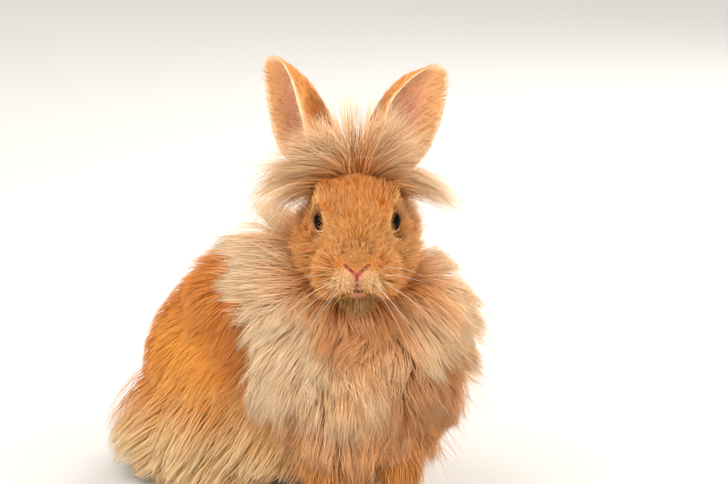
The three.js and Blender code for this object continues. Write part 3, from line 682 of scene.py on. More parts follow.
def lidRing(side):
    along, over = lidAxes(side)
    thick = lids["thickness"]
    profile = [  # shares of the opening, and how far each stands out from the eyeball
        (0.97, 0.12), (0.985, thick * 0.55), (1.03, thick * 0.85), (1.1, thick), (1.22, thick * 0.85),
        (1.4, thick * 0.3), (1.6, -1.2), (1.5, -2.6), (1.2, -2.2), (1.0, -1.2),
    ]
    bearing = np.linspace(0, 2 * math.pi, lids["around"], endpoint=False)
    way = np.cos(bearing)[:, None] * along + np.sin(bearing)[:, None] * over
    rings = []
    for share, proud in profile:
        angle = (lidOpening(bearing) * share)[:, None]
        point = np.cos(angle) * gazeOf(side) + np.sin(angle) * way
        rings.append(eyeAt(side) + point * (head["eyeRadius"] + proud))
    points, faces = loft(np.array(rings), closed=True)
    return points, turnedOut(points, faces, slice(lids["around"]), gazeOf(side))


def lidTint(side, ring):
    share = lidAngle(side, ring)
    return paint(
        markings(ring),
        ("outerCheek", fade(share, 1.5, 1.2) * 0.6),
        ("earRim", fade(share, 1.32, 1.1) * fade(ring[:, 1] - eyeAt(side)[1], 2, -5)),
        ("nostril", fade(share, 1.03, 0.98)),
    )


# Ears: a cupped blade whose inner edge rolls forward, so that its furred back shows from the front

ears = {"thickness": 1.6, "rows": 64, "across": 12, "rootDepth": 25}
earRows = {  # height, then left-right places of the outer edge, the fold and the rolled rim
    1: [(198, 16, 8, 12), (208, 22, 6.5, 13), (218, 32, 5.5, 14.5), (228, 41, 4.9, 15.5),
        (243, 48, 7.5, 16.3), (257, 51.6, 14.6, 19.9), (268.5, 52.8, 25.2, 29.9),
        (274.5, 51.9, 36, 38.5), (277.4, 48.5, 43.5, 44)],
    -1: [(198, -16, -8, -13), (208, -23, -8.5, -18), (218, -34, -9.2, -24), (228, -45, -10, -29),
         (243, -50, -13.6, -30.9), (258, -52.4, -21.3, -34.8), (270, -53.6, -30.1, -38.3),
         (279, -54, -40.5, -42.8), (283.6, -52, -46.5, -47)],
}
earDepths = {  # how far back those lines and the middle of the cup stand, and how far the tip leans back
    1: {"outer": -2, "cup": 7, "fold": -3, "rim": -8, "lean": 17},
    -1: {"outer": 4, "cup": 9, "fold": 1, "rim": -9, "lean": 9},
}


def curveThrough(knots, count):  # a smooth curve through knots, which are along the second last axis
    knots = np.concatenate([2 * knots[..., :1, :] - knots[..., 1:2, :], knots,
                            2 * knots[..., -1:, :] - knots[..., -2:-1, :]], axis=-2)
    spans = knots.shape[-2] - 3
    place = np.linspace(0, spans, count)
    first = np.minimum(place.astype(int), spans - 1)
    t = (place - first)[:, None]
    a, b, c, d = (knots[..., first + n, :] for n in range(4))
    steady, square, cube = c - a, 2 * a - 5 * b + 4 * c - d, 3 * b - a - 3 * c + d
    return 0.5 * (2 * b + steady * t + square * t ** 2 + cube * t ** 3)


def earSheet(side):
    table = curveThrough(np.array(earRows[side], float), ears["rows"] + 1)
    depth = earDepths[side]
    height, outer, fold, rim = table.T
    t = (height - height[0]) / (height[-1] - height[0])
    slim = np.sqrt(np.clip((1 - t) / 0.5, 0.0, 1))
    back = ears["rootDepth"] + depth["lean"] * t ** 1.2
    knots = [(outer, back + depth["outer"] * slim), (lerp(outer, fold, 0.48), back + depth["cup"] * slim),
             (fold, back + depth["fold"] * slim), (rim, back + depth["rim"] * slim)]
    knots = np.stack([np.stack([x, y, height], axis=-1) for x, y in knots], axis=1)
    middle = curveThrough(knots, 3 * ears["across"] + 1)
    along = unit(np.gradient(middle, axis=0))
    inward = unit(np.gradient(middle, axis=1))
    outNormal = unit(np.cross(inward, along)) * side
    u = np.linspace(0, 1, middle.shape[1])  # 0 at the outer edge, 1 at the rolled rim
    thin = ears["thickness"] / 2 * np.sqrt(np.clip(1 - np.abs(u * 2 - 1) ** 8, 0.15, 1))
    thin = thin[None, :, None] * np.clip((1 - t) / 0.06, 0.4, 1)[:, None, None]
    points = np.concatenate([(middle + way * outNormal * thin).reshape(-1, 3) for way in (1, -1)])
    number = np.arange(len(t) * len(u)).reshape(len(t), len(u))
    facts = {  # for each point of the furred back, then of the bare inside
        "t": np.tile(np.repeat(t, len(u)), 2), "u": np.tile(u, 2 * len(t)),
        "inner": np.repeat([0.0, 1.0], number.size),
        "along": np.tile(along.reshape(-1, 3), (2, 1)), "inward": np.tile(inward.reshape(-1, 3), (2, 1)),
    }
    cells = [number[:-1, :-1], number[:-1, 1:], number[1:, 1:], number[1:, :-1]]
    backQuads = np.stack(cells, axis=-1).reshape(-1, 4)
    frontQuads = np.stack(cells[::-1], axis=-1).reshape(-1, 4) + number.size
    rimRound = np.array([*number[0, :-1], *number[:-1, -1], *number[-1, :0:-1], *number[:0:-1, 0]])
    after = np.roll(rimRound, -1)
    rimQuads = np.stack([rimRound, rimRound + number.size, after + number.size, after], axis=-1)
    faces = trianglesOf(np.concatenate([backQuads, frontQuads, rimQuads]))
    return points, turnedOut(points, faces, slice(number.size), outNormal.reshape(-1, 3)), facts


def earEdges(u, outer, inner, full=1.0):  # 1 along the two long edges
    return np.maximum(fade(u, outer, 0.0), fade(u, inner, full))


def earTint(facts):
    t, u = facts["t"], facts["u"]
    inside = paint(
        allOver("earInside", t),
        ("earTan", fade(u, 0.34, 0.1)),
        ("earTan", 0.6 * fade(t, 0.6, 0.9)),
        ("earTan", 0.7 * fade(u, 0.6, 0.8)),
        ("earRim", earEdges(u, 0.06, 0.93, 0.99)),
        ("earRim", fade(t, 0.95, 1.0)),
    )
    behind = paint(
        allOver("earBack", t),
        ("darkMarkAndShade", 0.8 * patch(np.column_stack([t, u, 0 * t]), (0.62, 0.8, 0), (0.2, 0.16, 1))),
        ("earRim", earEdges(u, 0.05, 0.94)),
    )
    return lerp(inside, behind, (1 - facts["inner"])[:, None])


def makeSkin():
    points, quads = drapeOver(skinForm, [gradedLine(*span) for span in skinGrid["spans"]])
    triangles = trianglesOf(quads)
    points[:, 2] = np.maximum(points[:, 2], lowest["skin"])
    points = foldFace(points, normalsOf(points, triangles))
    tint = faceTint(points, markings(points))
    bare = bareFace(points)
    for side in (1, -1):
        away = lidAngle(side, points)
        edge = lerp(*lids["bareTo"], fade(points[:, 1] - eyeAt(side)[1], -1, -5))
        near = fade(distance(points, eyeAt(side)), 20, 16)
        bare = np.maximum(bare, fade(away - edge, 0.1, 0) * near)
        tint = paint(tint, ("lid", fade(away, 1.5, 1.2) * near))
    parts, tints, leaves = [(points, triangles)], [tint], []
    for side in (1, -1):
        ring, ringFaces = lidRing(side)
        sheet, sheetFaces, facts = earSheet(side)
        leaves.append((sheet, sheetFaces, facts, earTint(facts)))
        parts += [(ring, ringFaces), (sheet, sheetFaces)]
        tints += [lidTint(side, ring), leaves[-1][3]]
    points, faces = join(parts)
    bare = np.concatenate([bare, np.ones(len(points) - len(bare))])
    skin = meshObject("skin", points, faces)
    setAttribute(skin, "markings", np.column_stack([np.concatenate(tints), np.ones(len(points))]))
    setAttribute(skin, "bare", bare)
    flat = np.repeat(unit(crossOf(points, faces)), 3, axis=0)
    place = unwrap(points[faces].reshape(-1, 3), flat, points.min(0), points.max(0))
    setBakePlaces(skin, faces, place.reshape(-1, 3, 2))
    print("skin", len(points), "points", len(faces), "triangles")
    return skin, points, faces, normalsOf(points, faces), bare, leaves


# Tufts: closed, three-sided and tapered, rooted in the skin

def scatter(points, faces, density, count):  # places over triangles, drawn by their area times a density
    area = np.linalg.norm(crossOf(points, faces), axis=-1) / 2
    weight = np.cumsum(area * density[faces].mean(1))
    chosen = np.searchsorted(weight, draw.uniform(0, weight[-1], count))
    chosen = np.minimum(chosen, len(faces) - 1)
    one, two = draw.uniform(size=(2, count))
    fold = one + two > 1
    one, two = np.where(fold, 1 - one, one), np.where(fold, 1 - two, two)
    return chosen, np.stack([1 - one - two, one, two], axis=-1)


def pick(values, faces, chosen, weights):
    return np.einsum("nk,nk...->n...", weights, values[faces[chosen]])


def tangentOf(heading, normals):
    return unit(heading - normals * (heading * normals).sum(-1, keepdims=True))


def nearest(roots, guides):
    tree = KDTree(len(guides))
    for i, guide in enumerate(guides):
        tree.insert(roots[guide], i)
    tree.balance()
    return np.array([guides[tree.find(root)[1]] for root in roots])


def ways(heading, normals, look, lifted=1.0):  # the way a tuft sets off, and the way it ends up lying
    count = len(heading)
    lifted = lifted * np.ones(count)
    lift = np.radians(look["lift"]) * lifted * (1 + look["uneven"] * draw.uniform(-1, 1, count))
    heading = tangentOf(heading + draw.normal(size=(count, 3)) * look["stray"], normals)
    start = unit(heading * np.cos(lift)[:, None] + normals * np.sin(lift)[:, None])
    end = unit(heading + normals * (look["lieOut"] * lifted)[:, None] + down * look["droop"])
    return start, end


bibSlack = 16  # how far the lowest hair of the mane may pass its outline, and its middle twice that


def tuftPaths(roots, normals, start, end, look, length, clear, outline):
    count, steps = len(roots), look["steps"]
    if outline is not None:  # no longer than the way out of the coat's outline, which is looser at the bib
        slack = draw.uniform(*look["slack"], count) + bibSlack * fade(roots[:, 2], 96, 66) * look["hang"]
        slack += look["bumps"] * wobble(roots, 30, 90)
        slack += bibSlack * fade(np.abs(roots[:, 0] + 2), 44, 24) * fade(roots[:, 2], 96, 72) * look["hang"]
        way, left = unit(start + end), np.full(count, 90.0)
        for reach in np.arange(88, 0, -6.0):
            left = np.where(outline(roots + way * reach) > slack, reach, left)
        length = np.minimum(length, left * 1.25 + 3)
    path = [roots - normals * look["sunk"]]
    path[0][:, 2] = np.maximum(path[0][:, 2], lowest["tuftRoot"])
    at = roots.copy()
    for step in range(1, steps + 1):
        share = step / steps
        bent = unit(lerp(start, end, share ** look["bend"]) + draw.normal(size=(count, 3)) * look["wave"])
        at = at + bent * (length / steps)[:, None]
        if clear is not None:  # out of the skin again
            short = look["over"] * share - clear(at)
            at = at + normals * np.clip(short, 0, 6)[:, None]
        if outline is not None:  # back towards the outline
            beyond = np.maximum(outline(at) - slack - 3, 0)
            at = at - unit(slopeOf(outline, at)) * (beyond * 0.8)[:, None]
        at[:, 2] = np.maximum(at[:, 2], lowest["tuft"])
        path.append(at)
    return np.stack(path, axis=1)


def gather(path, roots, look):  # pulls each tuft towards the guide of its lock
    steps = path.shape[1] - 1
    lock = np.zeros(len(roots))
    for size, pull in look["locks"]:
        guides = draw.choice(len(roots), max(len(roots) // size, 1), replace=False)
        guide = nearest(roots, guides)
        away = roots - roots[guide]
        for step in range(1, steps + 1):
            share = step / steps
            target = path[guide, step] + away * (1 - look["gather"] * share)
            path[:, step] = lerp(path[:, step], target, pull * share ** 0.7)
        lock += draw.uniform(size=len(roots))[guide] / len(look["locks"])
    return path, lock


def tuftMesh(path, normals, look, width):
    count, rings = path.shape[0], path.shape[1] - 1
    points, outs = [], []
    for ring in range(rings):
        along = unit(path[:, ring + 1] - path[:, max(ring - 1, 0)])
        side = unit(np.cross(along, normals))
        over = np.cross(side, along)
        share = ring / rings
        half = (width / 2 * (0.85 + 0.5 * share) * (1 - share ** 1.6))[:, None]
        middle = path[:, ring]
        points += [middle + side * half, middle + over * half * look["arch"], middle - side * half]
        outs += [side - over * 0.35, over, -side - over * 0.35]
    points.append(path[:, rings])
    outs.append(over)
    points = np.stack(points, axis=1)
    rise = (unit(path[:, -1] - path[:, 0]) * normals).sum(-1)
    soft = (look["soft"] * fade(rise, 0.7, 0.35))[:, None, None]  # only fur that lies flat
    outs = unit(np.stack(outs, axis=1)) * (1 - soft) + normals[:, None] * soft
    faces = [(0, 1, 2)]
    for ring in range(rings - 1):
        for k in range(3):
            a, b = ring * 3 + k, ring * 3 + (k + 1) % 3
            faces += [(a, a + 3, b), (b, a + 3, b + 3)]
    top = (rings - 1) * 3
    faces += [(top + k, 3 * rings, top + (k + 1) % 3) for k in range(3)]
    faces = np.array(faces)
    each = 3 * rings + 1
    every = (np.arange(count)[:, None, None] * each + faces).reshape(-1, 3)
    along = np.array([ring / rings for ring in range(rings) for k in range(3)] + [1.0])
    across = np.array([0.5, 0.0, -0.5] * rings + [0.0])
    return points.reshape(-1, 3), every, outs.reshape(-1, 3), along, across


patchSize = 0.003  # of each tuft on the bake map
mostTriangles = 199000  # in one piece of coat


def makeCoat(name, roots, normals, startEnd, look, tone, finish, lengths, clear=None, outline=None):
    length = look["length"] * lengths * (1 + look["uneven"] * draw.uniform(-1, 1, len(roots)))
    path = tuftPaths(roots, normals, *startEnd, look, length, clear, outline)
    path, lock = gather(path, roots, look)
    path[..., 2] = np.maximum(path[..., 2], lowest["gathered"])
    width = look["width"] * (1 + 0.3 * draw.uniform(-1, 1, len(roots)))
    order = np.argsort(roots @ vec(0.3, 0.2, 1), kind="stable")
    count = math.ceil(len(roots) / (mostTriangles // (look["steps"] * 6 - 2)))
    for part, some in enumerate(np.array_split(order, count)):
        points, faces, outs, along, across = tuftMesh(path[some], normals[some], look, width[some])
        each = len(along)
        piece = meshObject(f"{name}_{part + 1}", points, faces)
        setAttribute(piece, "along", np.tile(along, len(some)))
        setAttribute(piece, "tuft", np.repeat(draw.uniform(size=len(some)), each))
        setAttribute(piece, "lock", np.repeat(lock[some], each))
        setAttribute(piece, "root", np.repeat(toWorld(roots[some]), each, axis=0))
        colour = np.column_stack([tone[some], np.ones(len(some))])
        setAttribute(piece, "markings", np.repeat(colour, each, axis=0))
        if look["soft"]:
            setNormals(piece, outs)
        low, high = roots[some].min(0) - 1, roots[some].max(0) + 1
        place = unwrap(roots[some], normals[some], low, high)
        spread = np.stack([across, along - 0.5], axis=-1) * patchSize
        setBakePlaces(piece, faces, (place[:, None] + spread).reshape(-1, 2))
        piece.data.materials.append(finish)
        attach(piece, "root")
    print(name, len(roots), "tufts in", count, "pieces")


# Materials

class Value:  # a node's socket that sums and products can be written with
    def __init__(self, finish, socket):
        self.finish, self.socket = finish, socket

    def maths(self, operation, first, second):
        return self.finish.node("ShaderNodeMath", {"operation": operation}, {0: first, 1: second})

    def __add__(self, other):
        return self.maths("ADD", self, other)

    def __sub__(self, other):
        return self.maths("SUBTRACT", self, other)

    def __rsub__(self, other):
        return self.maths("SUBTRACT", other, self)

    def __mul__(self, other):
        return self.maths("MULTIPLY", self, other)

    def __pow__(self, other):
        return self.maths("POWER", self, other)

    __radd__, __rmul__ = __add__, __mul__


class Finish:  # one material and the nodes in it
    def __init__(self, name, **fixed):
        self.material = bpy.data.materials.new(name)
        self.material.use_nodes = True
        self.tree = self.material.node_tree
        self.shader = self.tree.nodes["Principled BSDF"]
        for socket, value in fixed.items():
            self.shader.inputs[socket.replace("_", " ")].default_value = value

    def node(self, kind, settings, sockets, output=0):
        made = self.tree.nodes.new(kind)
        for name, value in settings.items():
            setattr(made, name, value)
        for name, value in sockets.items():
            self.put(made.inputs[name], value)
        return Value(self, made.outputs[output])

    def put(self, socket, value):
        if isinstance(value, Value):
            self.tree.links.new(value.socket, socket)
        elif isinstance(value, np.ndarray) and socket.type == "RGBA":
            socket.default_value = (*value, 1)
        else:
            socket.default_value = value

    def attribute(self, name, output="Fac"):
        return self.node("ShaderNodeAttribute", {"attribute_name": name}, {}, output)

    def mix(self, first, second, factor, kind="MIX"):
        settings = {"data_type": "RGBA", "blend_type": kind}
        return self.node("ShaderNodeMix", settings, {0: factor, 6: first, 7: second}, 2)

    def noise(self, scale, vector, detail=3.0):
        sockets = {"Scale": scale, "Vector": vector, "Detail": detail}
        return self.node("ShaderNodeTexNoise", {}, sockets, "Fac")

    def between(self, value, low, high):
        sockets = {"Value": value, "From Min": low, "From Max": high}
        return self.node("ShaderNodeMapRange", {"interpolation_type": "SMOOTHSTEP"}, sockets)

    def set(self, **sockets):
        for name, value in sockets.items():
            self.put(self.shader.inputs[name.replace("_", " ")], value)
        return self.material


furLooks = {  # linear colours of tips, dark tufts and the painted shade of hair near the skin, then how much of each shows
    "bodyFur": {"tip": (1.0, 0.62, 0.22), "dark": (0.36, 0.13, 0.025), "under": (1.0, 0.8, 0.6),
                "rootShade": 0.94, "tipLight": 0.9, "streak": 0.2, "mottle": 0.16, "lockShade": 0.0},
    "faceFur": {"tip": (1.0, 0.68, 0.34), "dark": (0.36, 0.13, 0.025), "under": (1.0, 0.8, 0.6),
                "rootShade": 0.55, "tipLight": 1.1, "streak": 0.6, "mottle": 0.25, "lockShade": 0.0},
    "earFur": {"tip": (1.0, 0.8, 0.54), "dark": (0.62, 0.27, 0.08), "under": (1.0, 0.8, 0.6),
               "rootShade": 0.95, "tipLight": 0.4, "streak": 0.1, "mottle": 0.1, "lockShade": 0.0},
    "longHair": {"tip": (1.0, 0.8, 0.54), "dark": (0.62, 0.27, 0.08), "under": (1.0, 0.72, 0.46),
                 "rootShade": 0.92, "tipLight": 1.1, "streak": 0.16, "mottle": 0.22, "lockShade": 0.4},
    # the skirt's hair: lighter tips and roots and fewer dark locks than the long hair, painted light for the
    # low skirt that faces down
    "skirtHairPaintedLight": {"tip": (1.0, 0.78, 0.48), "dark": (0.62, 0.27, 0.08), "under": (1.0, 0.72, 0.46),
                  "rootShade": 1.0, "tipLight": 1.3, "streak": 0.25, "mottle": 0.1, "lockShade": 0.08},
}


def furFinish(name, look):
    finish = Finish(name, Roughness=0.6, Specular_IOR_Level=0.06)
    marks = finish.attribute("markings", "Color")
    along = finish.attribute("along")
    tuft = finish.attribute("tuft")
    lock = finish.attribute("lock")
    root = finish.attribute("root", "Vector")
    patches = finish.between(finish.noise(55.0, root), 0.35, 0.7)
    dark = patches * look["mottle"] + tuft ** 3.0 * look["streak"] + (1 - lock) * look["lockShade"]
    tone = finish.mix(marks, np.array(look["dark"]), dark)
    blue = finish.node("ShaderNodeSeparateColor", {}, {"Color": marks}, "Blue")
    pale = finish.between(blue, 0.02, 0.35)  # cream hair has blue in it, orange fur hasn't
    light = along * look["tipLight"] * (tuft * 0.4 + lock * 0.9 + 0.2) * (pale * 0.7 + 0.3)
    tone = finish.mix(tone, np.array(look["tip"]), light)
    # painted shade: each tuft darkens towards the skin, where hair would shade hair
    depth = finish.between(along, 0.0, 0.6)
    shade = finish.mix(np.array(look["under"]) * look["rootShade"], np.ones(3), depth)
    return finish.set(Base_Color=finish.mix(tone, shade, 1.0, "MULTIPLY"))


def skinFinish():  # its bare places keep their markings, and the rest is darker in noisy patches: painted shade under the coat, as at the fur's roots
    finish = Finish("skin", Roughness=0.6, Specular_IOR_Level=0.1)
    marks = finish.attribute("markings", "Color")
    bare = finish.attribute("bare")
    place = finish.node("ShaderNodeTexCoord", {}, {}, "Object")
    grain = finish.noise(900.0, place, 4.0)
    patches = finish.noise(60.0, place)
    # painted shade under the fur, in noisy patches
    shadedUnderFur = finish.mix(marks, np.array([0.3, 0.11, 0.02]), finish.between(patches, 0.3, 0.75) * 0.2 + 0.1)
    tone = finish.mix(shadedUnderFur, marks, bare)
    bump = finish.node("ShaderNodeBump", {}, {"Strength": 0.35, "Distance": 0.0006, "Height": grain})
    return finish.set(Base_Color=tone, Normal=bump)


eyeLook = {  # linear colours, and where the iris and its rim start as shares of the cornea's radius
    "pupil": np.array([0.002, 0.002, 0.002]), "irisDark": np.array([0.012, 0.005, 0.003]),
    "irisLight": np.array([0.04, 0.016, 0.006]), "rim": np.array([0.012, 0.006, 0.004]),
    "irisStart": (0.6, 0.72), "rimStart": (0.85, 1.0),
}


def eyeFinish():
    finish = Finish("eye", Roughness=0.25, Coat_Weight=0.05, Coat_Roughness=0.03, Specular_IOR_Level=0.01)
    ring = finish.attribute("ring")
    place = finish.node("ShaderNodeTexCoord", {}, {}, "Object")
    iris = finish.mix(eyeLook["irisDark"], eyeLook["irisLight"], finish.noise(700.0, place, 5.0))
    tone = finish.mix(eyeLook["pupil"], iris, finish.between(ring, *eyeLook["irisStart"]))
    return finish.set(Base_Color=finish.mix(tone, eyeLook["rim"], finish.between(ring, *eyeLook["rimStart"])))


def plainFinish(name, colour, grainScale):
    finish = Finish(name, Roughness=0.4)
    place = finish.node("ShaderNodeTexCoord", {}, {}, "Object")
    grain = finish.noise(grainScale, place, 4.0)
    return finish.set(Base_Color=finish.mix(colour * 0.8, colour * 1.1, grain))


# Eyes, claws and whiskers

eyeball = {"rows": 41, "around": 64, "corneaEdge": 0.95, "corneaRise": 0.55}  # the edge in radians


def makeEye(name, side):
    out = gazeOf(side)
    along = unit(np.cross([0, 0, 1], out))
    over = np.cross(out, along)
    lean = np.linspace(0.02, math.pi - 0.02, eyeball["rows"])
    cornea = eyeball["corneaRise"] * fade(lean, eyeball["corneaEdge"], 0.3)
    radius = (head["eyeRadius"] + cornea - 0.02)[:, None, None]
    ring = np.sin(lean)[:, None, None] * circle(eyeball["around"], along, over)
    rings = eyeAt(side) + radius * (ring + np.cos(lean)[:, None, None] * out)
    points, faces = loft(rings[::-1])
    eye = meshObject(name, points, turnedOut(points, faces, 0, points[0] - eyeAt(side)))
    share = np.clip(lean[::-1] / eyeball["corneaEdge"], 0, 1.2)
    setAttribute(eye, "ring", np.repeat(share, eyeball["around"]))
    eye.data.materials.append(eyeFinish())
    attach(eye, "root")
    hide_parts("eye_left" if side > 0 else "eye_right")


claws = {"length": 8.5, "radius": 1.5, "drop": 3.6, "rings": 7, "around": 10}


def clawFrom(root, forward):
    across = np.cross([0, 0, 1], forward) * 0.8
    rings = []
    for share in np.linspace(0, 1, claws["rings"]):
        radius = claws["radius"] * (1 - share) ** 0.6 + 0.12
        middle = root + forward * (claws["length"] * share - 2)
        middle = middle + down * min(claws["drop"] * share ** 2, root[2] - radius - 0.2)
        rings.append(middle + radius * circle(claws["around"], across, vec(0, 0, 1)))
    points, faces = loft(np.array(rings))
    midway = 3 * claws["around"]
    return points, turnedOut(points, faces, midway, points[midway] - rings[3].mean(0))


def makeClaws():
    parts = []
    for side in (1, -1):
        for toe in (-1, 0, 1):
            parts.append(clawFrom(foreToeAt(side, toe) + vec(0, -5, -1.5), vec(0, -1, 0)))
            parts.append(clawFrom(hindToeAt(side, toe) + hipForward * 9 + vec(0, 0, -2), hipForward))
    thing = meshObject("claws", *join(parts))
    thing.data.materials.append(plainFinish("horn", np.array([0.12, 0.075, 0.045]), 900.0))
    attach(thing, "root")


makeCamera()
skin, skinPoints, skinFaces, skinNormals, bare, leaves = makeSkin()
skin.data.materials.append(skinFinish())
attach(skin, "root")
flesh = ["head", "neck_mane", "torso", "tail"]
for part in ("ear", "haunch", "foreleg", "hind_foot"):
    flesh += [part + "_left", part + "_right"]
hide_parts(*flesh)
makeEye("eyeLeft", 1)
makeEye("eyeRight", -1)
makeClaws()
print("camera, eyes and claws made")


# The coat, in tufts of so many steps. Lift is in degrees from the skin at the root. lieOut and droop say how
# far the tip leans out and down, sunk and over how deep the root is and how high the tip clears the skin, and
# locks how many tufts each lock has and how strongly it draws them. Slack, bumps and hang let hair pass the
# coat's outline.

usualLook = {"droop": 0.0, "bend": 1.0, "arch": 0.45, "soft": 0.0}
coatLooks = {
    "face": {**usualLook, "count": 28500, "steps": 2, "length": 7.0, "width": 0.35, "lift": 15,
             "uneven": 0.45, "stray": 0.22, "lieOut": 0.08, "sunk": 0.4, "wave": 0.03, "over": 1.2,
             "arch": 0.5, "locks": [(9, 0.5)], "gather": 0.65, "soft": 0.35},
    "body": {**usualLook, "count": 32000, "steps": 2, "length": 15, "width": 0.5, "lift": 20, "uneven": 0.35,
             "stray": 0.16, "lieOut": 0.08, "droop": 0.05, "sunk": 1.0, "wave": 0.05, "over": 4.5,
             "locks": [(60, 0.3), (10, 0.35)], "gather": 0.7, "soft": 0.6},
    "skirt": {**usualLook, "count": 4500, "steps": 4, "length": 46, "width": 0.66, "lift": 44, "uneven": 0.4,
              "stray": 0.14, "lieOut": 0.35, "droop": 0.25, "sunk": 1.5, "wave": 0.07, "over": 9,
              "locks": [(150, 0.4), (20, 0.6)], "gather": 0.75, "slack": (-2, 8), "bumps": 5, "hang": 0},
    "mane": {**usualLook, "count": 30000, "steps": 3, "length": 52, "width": 0.46, "lift": 40, "uneven": 0.35,
             "stray": 0.18, "lieOut": 0.3, "droop": 0.16, "sunk": 2.5, "bend": 0.8, "wave": 0.11, "over": 8,
             "locks": [(220, 0.6), (24, 0.55)], "gather": 0.88, "slack": (-6, 5), "bumps": 9, "hang": 1},
    "wisps": {**usualLook, "count": 1400, "steps": 4, "length": 58, "width": 0.28, "lift": 50, "uneven": 0.3,
              "stray": 0.35, "lieOut": 0.5, "droop": 0.15, "sunk": 2.5, "wave": 0.1, "over": 9,
              "locks": [(5, 0.5)], "gather": 0.6, "slack": (2, 11), "bumps": 7, "hang": 1},
    "forelock": {**usualLook, "steps": 5, "length": 45, "width": 0.42, "uneven": 0.45, "sunk": 1.5,
                 "bend": 1.2, "wave": 0.06, "over": 5, "locks": [(110, 0.4), (16, 0.5)], "gather": 0.75},
    "tail": {**usualLook, "count": 1500, "steps": 3, "length": 20, "width": 0.8, "lift": 50, "uneven": 0.25,
             "stray": 0.2, "lieOut": 0.6, "sunk": 1, "wave": 0.05, "over": 2,
             "locks": [(16, 0.5)], "gather": 0.7},
    "earBack": {**usualLook, "count": 5000, "steps": 2, "length": 6, "width": 0.34, "lift": 11, "uneven": 0.4,
                "stray": 0.22, "lieOut": 0.06, "sunk": 0.5, "wave": 0.04, "over": 0, "arch": 0.4,
                "locks": [(6, 0.4)], "gather": 0.6},
    "earInside": {**usualLook, "count": 3800, "steps": 2, "length": 7.5, "width": 0.24, "lift": 7,
                  "uneven": 0.35, "stray": 0.14, "lieOut": 0.05, "sunk": 0.3, "wave": 0.03, "over": 0,
                  "arch": 0.4, "locks": [(6, 0.4)], "gather": 0.6},
}


def swirl(places, size, seed):  # a slow change of direction, so that neighbouring tufts turn together
    return np.stack([wobble(places, size, seed + n) for n in range(3)], axis=-1)


def combFace(places):
    heading = unit(places - vec(0, -56, 174)) + vec(0, 0.35, 0) + 0.12 * swirl(places, 22, 40)
    for side in (1, -1):  # round the eyes, not across them
        toEye = unit(eyeAt(side) - places)
        near = fade(distance(places, eyeAt(side)), 23, 13)
        onto = np.maximum((heading * toEye).sum(-1), 0) * near
        heading = heading - toEye * (onto * 1.7)[:, None]
    return heading


def combMane(places):
    return unit(places - vec(0, -14, 188)) + 0.4 * swirl(places, 30, 50)


def combBody(places):
    return unit(-hipForward * 0.75 + down * 0.9) + 0.12 * swirl(places, 60, 60)


def comb(places, part):
    heading = combBody(places) * (1 - part["mane"])[:, None] + combMane(places) * part["mane"][:, None]
    heading = heading * (1 - part["head"])[:, None] + combFace(places) * part["head"][:, None]
    return heading * (1 - part["legs"])[:, None] + vec(0, -0.25, -1) * part["legs"][:, None]


skinShares = shares(skinPoints)
allowed = 1 - bare
allowed[skinPoints[:, 2] < 1.2] = 0
fromSpine = np.abs((skinPoints - fromHip(0, 0, 0)) @ hipLeft)
lowFlank = fade(skinPoints[:, 2], 78, 52) * fade(skinPoints[:, 2], 12, 22)
lowFlank = lowFlank * fade(fromSpine, 22, 36) * (1 - skinShares["mane"])
crown = patch(skinPoints, (0, 13, 224), (17, 13, 14))


def rootsFor(density, count):
    chosen, weights = scatter(skinPoints, skinFaces, density, count)
    roots = pick(skinPoints, skinFaces, chosen, weights)
    normals = unit(pick(skinNormals, skinFaces, chosen, weights))
    return roots, normals


def cheekShare(places, part):  # 1 where the fur of the cheeks stands out over the mane
    return part["head"] * fade(places[:, 1], -32, -8) * fade(places[:, 2], 200, 184)


def beardShare(places, part):  # 1 where the fur of the chin hangs over the throat
    return part["head"] * fade(places[:, 2], 160, 150) * fade(places[:, 1], -46, -34)


def napeShare(places, part):  # 1 where the hair of the nape grows up to the ears
    return part["head"] * fade(places[:, 1], 6, 22) * fade(places[:, 2], 228, 216)


def templeShare(places):  # 1 below the outer foot of each ear
    return patch(np.abs(places), (22, 4, 214), (12, 18, 12))


def loinShare(places):  # 1 where the coat stands up on the loin
    return patch(places, (-70, 92, 150), (70, 70, 44))


def growOver(name, density, finish, look, clear, lengthAt=None, outline=None):
    roots, normals = rootsFor(density, look["count"])
    part = shares(roots)
    lengths = np.ones(len(roots)) if lengthAt is None else lengthAt(roots, part)
    raised = loinShare(roots) * (1 - part["head"]) * (1 - part["mane"])
    muzzle = patch(np.abs(roots), (15, 36, 168), (12, 22, 16)) * part["head"]
    lifted = 1 + 1.1 * cheekShare(roots, part) + 1.2 * napeShare(roots, part) + 0.7 * raised
    lifted += 1.4 * muzzle + beardShare(roots, part) + 0.7 * templeShare(roots)
    startEnd = ways(comb(roots, part), normals, look, lifted)
    tone = faceTint(roots, markings(roots), lines=0)
    makeCoat(name, roots, normals, startEnd, look, tone, finish, lengths, clear, outline)


def faceLengths(places, part):  # plush round the nose, lips and lids, longer on the cheeks, chin and temples
    lines = [nostrilLine(1), nostrilLine(-1), philtrumLine, mouthLine()]
    near = np.min([frontLine(line, places) for line in lines], axis=0)
    toNose = distance(places, vec(0, -52, 172))
    toEye = np.minimum(distance(places, eyeAt(1)), distance(places, eyeAt(-1)))
    toLid = np.where(places[:, 0] > 0, lidAngle(1, places), lidAngle(-1, places)) + fade(toEye, 17, 22)
    lengths = lerp(0.3, 1.0, fade(toNose, 6, 26)) * lerp(0.35, 1, fade(near, 1, 6))
    lengths = lengths * lerp(0.34, 1, fade(toLid, 1.2, 1.75))
    lengths *= 1 + 0.7 * patch(np.abs(places), (16, 34, 168), (12, 22, 18))
    lengths *= 1 + 0.6 * templeShare(places)
    longer = 1 + 1.6 * cheekShare(places, part) + 2.2 * napeShare(places, part)
    return lengths * (longer + beardShare(places, part))


